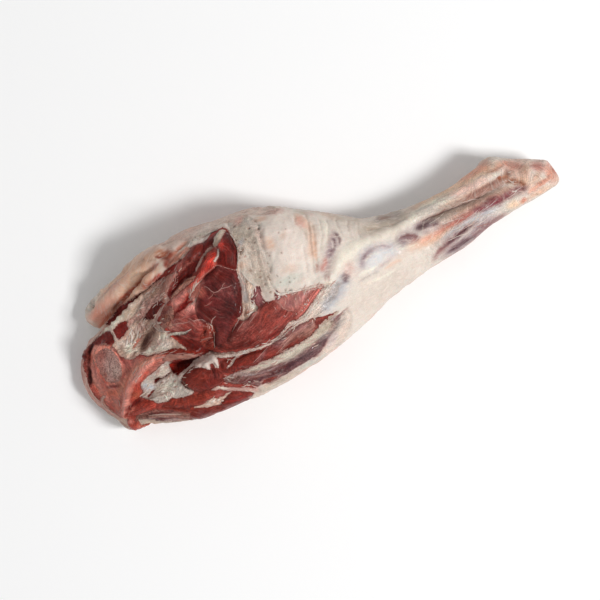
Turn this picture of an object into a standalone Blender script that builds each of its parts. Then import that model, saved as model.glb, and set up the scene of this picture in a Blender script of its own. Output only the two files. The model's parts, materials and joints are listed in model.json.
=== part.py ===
"""Raw leg of lamb, bone in, lying on its outer side with the cut inner side up.

The leg lies along X: the chump end, cut across the hip, is at -X and the hock is at +X. +Z is up and the
underside rests on z = 0. The origin is the middle of the leg's box, at its base.

The meat and fat are one solid. Two bones show where the pelvis was sawn, and each is a solid of its own that
sits in a socket in the meat.

Lengths in the tables below are in millimetres. Run it with: blender --background --python part.py
"""

import math

import bmesh
import bpy
import numpy as np
from mathutils import Vector, noise

MM = 0.001

# Driving dimensions
LENGTH = 500.0  # chump end to hock
THIGH_THICKNESS = 104.0  # floor to the top of the fat cap
FIT_GAP = 0.35  # between a bone and its socket
SUNK = 2.0  # the meat is modelled this far below the floor and then cut flat
SKIN_GRAIN = 2.0  # size of the cells that even out the skin where the forms meet
BODY_TRIANGLES = 8300

HALF = LENGTH / 2

# Plan outline, as (x, y): the far edge is at +Y, the near edge at -Y.
FAR_EDGE = [
    (-HALF, -17), (-248, -2), (-243, 16), (-234, 25), (-214, 33), (-182, 46), (-158, 57), (-140, 74),
    (-124, 85), (-108, 87), (-72, 84), (-44, 83), (-20, 76), (8, 60), (40, 40), (68, 24.5), (88, 20.5),
    (112, 18.5), (150, 20), (176, 25), (197, 30), (214, 22), (234, 13.5), (245, 8), (HALF, -3),
]
NEAR_EDGE = [
    (-HALF, -23), (-246, -36), (-238, -49), (-229, -67), (-214, -67.5), (-188, -77), (-158, -85),
    (-112, -87), (-62, -84), (-30, -79), (4, -70), (36, -58), (62, -49.5), (100, -41), (140, -35.5),
    (176, -26), (202, -22), (232, -19), (245, -16.5), (HALF, -9),
]
# Side profile, as (x, z)
TOP_PROFILE = [
    (-HALF, 9), (-244, 21), (-232, 33), (-214, 48), (-196, 58), (-172, 67), (-150, 79), (-126, 91),
    (-96, 100), (-60, THIGH_THICKNESS), (-28, THIGH_THICKNESS), (6, 99), (40, 86), (72, 72), (104, 61),
    (140, 55), (180, 54), (204, 53), (226, 47), (242, 40), (HALF, 32),
]
BASE_PROFILE = [
    (-HALF, 4), (-245, 0), (-236, -SUNK), (30, -SUNK), (62, 2), (100, 9), (140, 13), (200, 13),
    (228, 15), (244, 19), (HALF, 24),
]
WIDEST_HEIGHT = [
    (-HALF, 6), (-236, 14), (-200, 25), (-150, 34), (-60, 41), (20, 40), (70, 35), (110, 33), (200, 32),
    (HALF, 28),
]
# Where the crest of the back lies between the two edges, 0 at the near edge and 1 at the far edge
CREST = [(-HALF, 0.5), (-200, 0.55), (-100, 0.6), (-20, 0.6), (80, 0.5), (HALF, 0.5)]
# How full each section is: 2 is an ellipse, more is squarer
TOP_FULLNESS = [(-HALF, 3.0), (-200, 2.9), (-120, 2.5), (0, 2.25), (100, 2.1), (HALF, 2.3)]
BASE_FULLNESS = [(-HALF, 3.4), (0, 3.2), (90, 2.2), (HALF, 2.3)]

# Muscle bellies and hollows on the upper side: (x, y, half length, half width, turn in degrees, rise)
BELLIES = {
    "inside muscle": (-100, 26, 58, 36, 38, 9.0),
    "inside muscle, pubic end": (-140, 6, 24, 20, -20, 5.0),
    "tip of the inside muscle": (-71, 57, 12, 20, -15, 6.0),
    "lower inside muscle": (-62, -24, 56, 19, 4, 5.0),
    "fat cap": (-20, 34, 34, 46, 8, 2.5),
    "pelvic hollow": (-184, 14, 31, 19, 24, -13.0),
    "hollow beside the pubic bone": (-176, 4, 15, 6, 28, -7.0),
    "hollow under the hip ridge": (-184, -40, 24, 12, -14, -8.0),
    "round muscle": (-143, -50, 24, 14, 4, 5.0),
    "chump muscle": (-206, -50, 17, 8, 2, 4.0),
    "silverside band": (-90, -50, 52, 9, 2, 3.0),
    "kneecap": (52, -8, 26, 17, 12, 2.5),
    "heel cord knob": (199, 20, 16, 10, -14, 4.0),
    "hock joint": (232, -2, 20, 15, -10, 4.0),
    "ankle": (204, -13, 17, 8, 6, 2.0),
}
# Ridges and clefts on the upper side: (points along it, half width, rise)
RIDGES = {
    "hip ridge": (
        [(-228, -56), (-217, -39), (-202, -26), (-184, -18), (-165, -16), (-146, -21), (-128, -30)], 8, 8.0,
    ),
    "skin flange": ([(-250, -30), (-249, -10), (-246, 8), (-241, 20), (-231, 28)], 4, 4.0),
    "cleft behind the flange": ([(-247, -12), (-243, 2), (-237, 14), (-229, 24)], 4, -8.0),
    "deep cleft": ([(-170, -27), (-154, -31), (-138, -32), (-120, -28)], 6, -24.0),
    "cleft in the hollow": ([(-190, -35), (-177, -33), (-167, -30)], 4, -6.0),
    "edge of the back fat": ([(-214, 29), (-200, 32), (-180, 41), (-160, 50)], 5, 5.0),
    "outer muscle strip": ([(-146, 36), (-128, 50), (-110, 61), (-92, 68)], 8, 4.0),
    "furrow along the strip": ([(-142, 34), (-124, 41), (-104, 50), (-84, 63)], 5, -6.0),
    "outer furrow": ([(-150, 40), (-134, 55), (-118, 68), (-100, 77)], 5, -6.0),
    "blood vessel": ([(-138, 27), (-118, 34), (-98, 43), (-84, 50), (-78, 58)], 5, 4.0),
    "slit": ([(-138, 19), (-127, 24), (-117, 30)], 3, -6.0),
    "long seam": ([(-122, -30), (-106, -40), (-82, -45), (-58, -42), (-36, -34), (-8, -20)], 5, -4.5),
    "heavy fascia": ([(-40, -37), (-14, -23), (14, -5), (44, 6), (84, 6), (112, 10)], 7, 3.5),
    "white band": ([(-106, -60), (-80, -63), (-52, -61), (-22, -53)], 6, 4.0),
    "furrow under the band": ([(-116, -66), (-84, -71), (-48, -69), (-16, -60)], 5, -4.0),
    "lower furrow": ([(-196, -60), (-172, -69), (-146, -75), (-118, -72), (-96, -79)], 5, -5.0),
    "shin tendon": ([(96, 8), (124, 10), (160, 13), (200, 17)], 6, 4.0),
    "furrow along the shin": ([(98, 3), (130, 2), (160, 1), (196, 3)], 5, -4.5),
    "middle tendon": ([(92, -8), (130, -8), (172, -6), (210, -4)], 6, 3.0),
    "lower furrow of the shank": ([(110, -20), (146, -15), (184, -13)], 5, -3.5),
    "calf muscle": ([(98, -34), (128, -28), (164, -24)], 8, 3.0),
}
# Belly flap of fat at the far side, hanging free at its tip: (x, y, z, half width, half thickness)
FLAP = [
    (-221, 44.5, 13, 8, 6), (-217, 46, 15, 11, 7), (-206, 51.5, 19, 14.5, 8), (-190, 57, 27, 15, 10),
    (-168, 62.5, 37, 15.5, 12), (-146, 68, 48, 17, 15), (-122, 66, 56, 19, 18), (-96, 60, 60, 16, 18),
]
# The fold of its inner edge, which lies against the body
FLAP_FOLD = [
    (-190, 43.5, 34, 2.5, 4), (-174, 48, 44, 3.5, 6), (-160, 52.5, 53, 4, 8), (-146, 58.5, 62, 5, 9),
    (-132, 62.5, 67, 6, 9), (-118, 64, 69, 6, 9),
]
# Sawn bones: (x, y, half length, half width, turn in degrees, depth, height above the meat)
BONES = {
    "hip_bone": (-222.5, -2, 16.5, 23.5, 4, 15, 1.2),
    "pubic_bone": (-149.5, 18, 13.5, 8.5, 43, 12, 0.8),
}

COLOURS = {
    "meat": ((0.35, 0.045, 0.04), 0.42),
    "bone": ((0.42, 0.20, 0.17), 0.62),
}


# ---- curves --------------------------------------------------------------------------

def curve(points):
    """A smooth function through points (x, value) that doesn't overshoot them."""
    x, value = np.array(points, float).T
    rise = np.diff(value) / np.diff(x)
    slope = np.concatenate([rise[:1], np.zeros(len(x) - 2), rise[-1:]])
    same_way = rise[:-1] * rise[1:] > 0
    slope[1:-1][same_way] = 2 / (1 / rise[:-1][same_way] + 1 / rise[1:][same_way])

    def at(q):
        i = np.clip(np.searchsorted(x, q) - 1, 0, len(rise) - 1)
        width = x[i + 1] - x[i]
        t = np.clip((q - x[i]) / width, 0, 1)
        return (
            value[i] * (1 + 2 * t) * (1 - t) ** 2
            + slope[i] * width * t * (1 - t) ** 2
            + value[i + 1] * t**2 * (3 - 2 * t)
            + slope[i + 1] * width * t**2 * (t - 1)
        )

    return at


def route(points, steps=8):
    """Points along a smooth curve through the given ones, in any number of dimensions."""
    points = np.array(points, float)
    place = np.arange(len(points), dtype=float)
    fine = np.linspace(0, len(points) - 1, (len(points) - 1) * steps + 1)
    return np.stack([curve(np.stack([place, c], axis=1))(fine) for c in points.T], axis=1)


def step_up(value, low, high):
    t = np.clip((value - low) / (high - low), 0, 1)
    return t * t * (3 - 2 * t)


far_edge, near_edge, crest_share = curve(FAR_EDGE), curve(NEAR_EDGE), curve(CREST)
top_profile, base_profile, widest_height = curve(TOP_PROFILE), curve(BASE_PROFILE), curve(WIDEST_HEIGHT)
top_fullness, base_fullness = curve(TOP_FULLNESS), curve(BASE_FULLNESS)


def crest_line(x):
    return near_edge(x) + crest_share(x) * (far_edge(x) - near_edge(x))


# ---- relief of the upper side --------------------------------------------------------

def swell(share):
    """1 in the middle of a form, falling smoothly to 0 at its edge, where share is 1."""
    return np.clip(1 - share**2, 0, 1) ** 2


def belly_rise(x, y, form):
    at_x, at_y, half_length, half_width, turn, rise = form
    c, s = math.cos(math.radians(turn)), math.sin(math.radians(turn))
    along = ((x - at_x) * c + (y - at_y) * s) / half_length
    across = ((y - at_y) * c - (x - at_x) * s) / half_width
    return rise * np.clip(1 - along**2 - across**2, 0, 1) ** 1.3


def distance_to(x, y, line):
    """(distance from each place to a line of points, how far along the line its nearest point is, 0 to 1)."""
    best, along = np.full(x.shape, np.inf), np.zeros(x.shape)
    for i, (a, b) in enumerate(zip(line[:-1], line[1:])):
        run = b - a
        t = np.clip(((x - a[0]) * run[0] + (y - a[1]) * run[1]) / (run @ run), 0, 1)
        away = np.hypot(x - a[0] - t * run[0], y - a[1] - t * run[1])
        nearer = away < best
        best[nearer] = away[nearer]
        along[nearer] = (i + t[nearer]) / (len(line) - 1)
    return best, along


def ridge_rise(x, y, form):
    points, half_width, rise = form
    away, along = distance_to(x, y, route(points, 4))
    ends = step_up(along, 0, 0.15) * step_up(1 - along, 0, 0.15)
    return rise * swell(away / half_width) * (0.25 + 0.75 * ends)


def relief(x, y):
    """How far the upper side stands above the plain loft."""
    total = np.zeros(x.shape)
    for form in BELLIES.values():
        total += belly_rise(x, y, form)
    for form in RIDGES.values():
        total += ridge_rise(x, y, form)
    return total


def top_height(x, y):
    """Height of the upper side over one place."""
    crest = crest_line(x)
    edge = far_edge(x) if y > crest else near_edge(x)
    n = top_fullness(x)
    share = min(1.0, abs((y - crest) / (edge - crest)))
    plain = widest_height(x) + (top_profile(x) - widest_height(x)) * (1 - share**n) ** (1 / n)
    return float(plain + relief(np.array([float(x)]), np.array([float(y)]))[0])


# ---- meshes --------------------------------------------------------------------------

def new_object(name, bm):
    bmesh.ops.recalc_face_normals(bm, faces=bm.faces)
    mesh = bpy.data.meshes.new(name)
    bm.to_mesh(mesh)
    bm.free()
    mesh.shade_smooth()
    obj = bpy.data.objects.new(name, mesh)
    bpy.context.scene.collection.objects.link(obj)
    return obj


def loft(name, rings):
    """A closed body through rings of points in millimetres, with both ends filled."""
    bm = bmesh.new()
    made = [[bm.verts.new(Vector(point) * MM) for point in ring] for ring in rings]
    for a, b in zip(made[:-1], made[1:]):
        for i in range(len(a)):
            j = (i + 1) % len(a)
            bm.faces.new((a[i], a[j], b[j], b[i]))
    bm.faces.new(made[0])
    bm.faces.new(made[-1][::-1])
    return new_object(name, bm)


def body():
    """The leg without its flap: superellipse sections across X, then the relief of the upper side."""
    share = np.linspace(0, 1, 150)
    ends = np.array([0.0, 0.4, 1.2, 2.4, 4.2, 6.4])
    inner = -HALF + 9 + (LENGTH - 18) * (share + 0.10 * np.sin(2 * math.pi * share) / (2 * math.pi))
    stations = np.concatenate([-HALF + ends, inner, (HALF - ends)[::-1]])
    angle = np.linspace(0, 2 * math.pi, 112, endpoint=False)
    x, a = np.meshgrid(stations, angle, indexing="ij")
    up = np.sin(a) >= 0
    n = np.where(up, top_fullness(x), base_fullness(x))
    crest = crest_line(x)
    reach = np.where(np.cos(a) >= 0, far_edge(x) - crest, crest - near_edge(x))
    tall = np.where(up, top_profile(x), base_profile(x)) - widest_height(x)
    y = crest + reach * np.sign(np.cos(a)) * np.abs(np.cos(a)) ** (2 / n)
    lift = np.abs(np.sin(a)) ** (2 / n)
    z = widest_height(x) + tall * lift
    z += np.where(up, relief(x, y) * step_up(lift, 0.1, 0.6), 0)
    points = np.stack([x, y, z], axis=-1)
    for point in points.reshape(-1, 3):
        lump = noise.noise(Vector(point) / 26) * 1.6
        point[1] += lump * 0.5
        point[2] += lump
    return loft("leg", points)


def fleshy_strip(name, stations):
    """A closed tube with elliptical sections along stations (x, y, z, half width, half thickness)."""
    line = route(stations, 5).tolist()
    sides = [2 * math.pi * i / 20 for i in range(20)]
    rings = []
    for i, (x, y, z, wide, thick) in enumerate(line):
        ahead = Vector(line[min(i + 1, len(line) - 1)][:3]) - Vector(line[max(i - 1, 0)][:3])
        across = Vector((0, 0, 1)).cross(ahead).normalized()
        up = ahead.normalized().cross(across)
        rounding = 0.35 if i in (0, len(line) - 1) else 1.0
        rings.append([
            Vector((x, y, z)) + rounding * (wide * math.cos(s) * across + thick * math.sin(s) * up)
            for s in sides
        ])
    return loft(name, rings)


def bone_plug(name, form, grow=0.0, stand=0.0):
    """A short oval length of bone let into the upper side, or its socket where grow and stand are given."""
    at_x, at_y, half_length, half_width, turn, depth, proud = form
    reach = 6.0
    slope_x = (top_height(at_x + reach, at_y) - top_height(at_x - reach, at_y)) / (2 * reach)
    slope_y = (top_height(at_x, at_y + reach) - top_height(at_x, at_y - reach)) / (2 * reach)
    face = Vector((-slope_x, -slope_y, 1)).normalized()
    c, s = math.cos(math.radians(turn)), math.sin(math.radians(turn))
    along = Vector((c, s, slope_x * c + slope_y * s)).normalized()
    across = face.cross(along)
    middle = Vector((at_x, at_y, top_height(at_x, at_y)))
    # each ring is (distance out along the face, share of the full size)
    rings = [(-depth - grow, 0.72), (-depth * 0.9, 0.84), (-depth * 0.5, 0.94), (0, 1.0)]
    if stand:
        rings.append((stand, 1.04))
    else:
        rings += [(proud * 0.7, 0.95), (proud, 0.80), (proud * 0.6, 0.45), (proud * 0.5, 0.12)]
    sides = [2 * math.pi * i / 36 for i in range(36)]
    made = []
    for out, share in rings:
        ring = []
        for side in sides:
            wobble = 1 + 0.05 * math.sin(2 * side + 1) + 0.03 * math.sin(3 * side)
            point = middle + face * out
            point += along * math.cos(side) * (half_length * share * wobble + grow)
            point += across * math.sin(side) * (half_width * share * wobble + grow)
            ring.append(point)
        made.append(ring)
    return loft(name, made)


def floor_slab():
    """Cutter for the flat on which the meat has settled."""
    size = Vector((LENGTH * 1.5, LENGTH, 20)) * MM
    bm = bmesh.new()
    bmesh.ops.create_cube(bm, size=1)
    bmesh.ops.scale(bm, vec=size, verts=bm.verts)
    bmesh.ops.translate(bm, vec=(0, 0, -size.z / 2), verts=bm.verts)
    slab = new_object("floor_slab", bm)
    return slab


# ---- assembly ------------------------------------------------------------------------

def helper(obj):
    obj.hide_render = True
    obj.display_type = "WIRE"
    return obj


def combine(target, other, operation):
    modifier = target.modifiers.new(f"{operation.lower()} {other.name}", "BOOLEAN")
    modifier.operation = operation
    modifier.solver = "EXACT"
    modifier.object = helper(other)


def finish(obj, colour_name):
    colour, roughness = COLOURS[colour_name]
    material = bpy.data.materials.get(colour_name) or bpy.data.materials.new(colour_name)
    material.use_nodes = True
    shader = material.node_tree.nodes["Principled BSDF"]
    shader.inputs["Base Color"].default_value = (*colour, 1)
    shader.inputs["Roughness"].default_value = roughness
    shader.inputs["Metallic"].default_value = 0
    obj.data.materials.append(material)


def triangles(obj):
    mesh = obj.evaluated_get(bpy.context.evaluated_depsgraph_get()).data
    mesh.calc_loop_triangles()
    return len(mesh.loop_triangles)


def centre_on_origin(root, leg):
    """Moves everything so that the leg's box stands centred on the origin."""
    bpy.context.view_layer.update()
    mesh = leg.evaluated_get(bpy.context.evaluated_depsgraph_get()).data
    corners = np.array([v.co for v in mesh.vertices])
    middle = (corners.min(axis=0) + corners.max(axis=0)) / 2
    root.location = (-middle[0], -middle[1], 0)


def main():
    for obj in list(bpy.data.objects):
        bpy.data.objects.remove(obj)
    leg = body()
    flap = fleshy_strip("flap", FLAP)
    combine(flap, fleshy_strip("flap_fold", FLAP_FOLD), "UNION")
    combine(leg, flap, "UNION")
    blend = leg.modifiers.new("even skin", "REMESH")
    blend.mode = "VOXEL"
    blend.voxel_size = SKIN_GRAIN * MM
    blend.use_smooth_shade = True
    soften = leg.modifiers.new("soften", "SMOOTH")
    soften.factor = 0.5
    soften.iterations = 3
    bpy.context.view_layer.update()
    thin = leg.modifiers.new("fewer faces", "DECIMATE")
    thin.ratio = BODY_TRIANGLES / triangles(leg)
    finish(leg, "meat")
    parts = [leg]
    for name, form in BONES.items():
        combine(leg, bone_plug(name + "_socket", form, grow=FIT_GAP, stand=12), "DIFFERENCE")
        bone = bone_plug(name, form)
        finish(bone, "bone")
        parts.append(bone)
    combine(leg, floor_slab(), "DIFFERENCE")
    root = bpy.data.objects.new("leg_of_lamb", None)
    bpy.context.scene.collection.objects.link(root)
    for obj in [o for o in bpy.data.objects if o != root]:
        obj.parent = root
    centre_on_origin(root, leg)


main()
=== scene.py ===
"""Dresses the solids of a raw leg of lamb in muscle, fat, fascia and sawn bone, on a pale stage."""

import itertools
import json
import math
import random

import bmesh
import bpy
import numpy as np
from bpy.props import FloatProperty, FloatVectorProperty, IntProperty, PointerProperty
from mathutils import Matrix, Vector
from mathutils.bvhtree import BVHTree

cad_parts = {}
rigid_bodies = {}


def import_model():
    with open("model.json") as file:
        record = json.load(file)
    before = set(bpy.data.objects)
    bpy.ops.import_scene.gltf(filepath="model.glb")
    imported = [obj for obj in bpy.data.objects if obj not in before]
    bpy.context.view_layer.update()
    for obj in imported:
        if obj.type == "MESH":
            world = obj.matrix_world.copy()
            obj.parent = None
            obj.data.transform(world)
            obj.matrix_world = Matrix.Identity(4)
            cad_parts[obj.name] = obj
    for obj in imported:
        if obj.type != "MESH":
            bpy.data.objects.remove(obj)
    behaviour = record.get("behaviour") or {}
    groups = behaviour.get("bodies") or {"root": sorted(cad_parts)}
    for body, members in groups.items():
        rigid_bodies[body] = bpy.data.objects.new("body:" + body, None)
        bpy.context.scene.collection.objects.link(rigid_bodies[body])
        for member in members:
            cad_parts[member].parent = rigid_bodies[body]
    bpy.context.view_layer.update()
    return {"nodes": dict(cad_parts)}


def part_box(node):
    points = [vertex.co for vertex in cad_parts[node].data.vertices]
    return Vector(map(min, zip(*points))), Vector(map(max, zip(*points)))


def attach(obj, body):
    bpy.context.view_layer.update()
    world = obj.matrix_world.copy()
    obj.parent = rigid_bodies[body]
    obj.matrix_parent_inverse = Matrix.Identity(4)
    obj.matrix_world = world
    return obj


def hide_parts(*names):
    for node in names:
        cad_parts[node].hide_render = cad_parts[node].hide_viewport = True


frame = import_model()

bl_info = {
    "name": "Raw leg of lamb",
    "version": (1, 0, 0),
    "blender": (4, 5, 0),
    "location": "View3D > Sidebar > Lamb",
    "description": "Muscle, fat, sinew and bone for a raw leg of lamb",
    "category": "Object",
}

LEG_LOW, LEG_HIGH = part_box("leg")
# All tables below are in five-hundredths of the leg's length, which is close to a millimetre on this leg.
# x runs from -250 at the chump end to 250 at the hock, and y from the middle of the leg's width.
MM = (LEG_HIGH.x - LEG_LOW.x) / 500
MIDDLE = Vector(((LEG_LOW.x + LEG_HIGH.x) / 2, (LEG_LOW.y + LEG_HIGH.y) / 2, 0))

MUSCLE, SOFT, FAT, GAP = "muscle", "soft muscle", "fat", "gap"

# Colours by name, as red, green and blue from 0 to 255
PALETTE = {
    # fat, fascia and sinew, from white to brown
    "white": (245, 240, 220), "cream white": (232, 217, 206), "milk": (221, 209, 197),
    "warm cream": (244, 206, 174), "cream": (222, 202, 188), "soft cream": (206, 192, 180),
    "ivory": (222, 190, 170), "peach": (228, 182, 154), "beige": (210, 180, 166),
    "sand": (198, 157, 134), "straw": (186, 170, 152), "sage white": (206, 208, 196),
    "bluish white": (210, 212, 216), "blue film": (178, 179, 184), "pearl": (197, 180, 178),
    "ash": (163, 152, 146), "warm grey": (170, 146, 132), "taupe": (142, 108, 94),
    "sallow": (130, 136, 118),
    # pinks
    "blush": (247, 182, 166), "rose": (222, 165, 150), "salmon": (230, 160, 138),
    "dusty pink": (202, 165, 154), "skin pink": (193, 144, 133), "apricot": (210, 130, 105),
    "old rose": (195, 123, 111), "clay": (170, 116, 102), "coral": (214, 104, 84),
    "tan": (168, 100, 70),
    # reds
    "vermilion": (242, 84, 68), "scarlet": (196, 46, 30), "red": (173, 78, 62), "brick": (158, 77, 66),
    "rosy meat": (132, 65, 56), "meat": (141, 60, 45), "brown meat": (122, 50, 40),
    "blood": (132, 25, 18), "rust": (136, 48, 33), "wine": (110, 34, 28), "dark meat": (103, 44, 42),
    "deep red": (90, 27, 20), "clot": (66, 20, 18), "black red": (46, 10, 8),
    # purples
    "mauve": (144, 119, 124), "heather": (134, 89, 88), "plum": (118, 46, 54), "slate": (98, 72, 74),
    "dark plum": (78, 44, 52),
}

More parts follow.
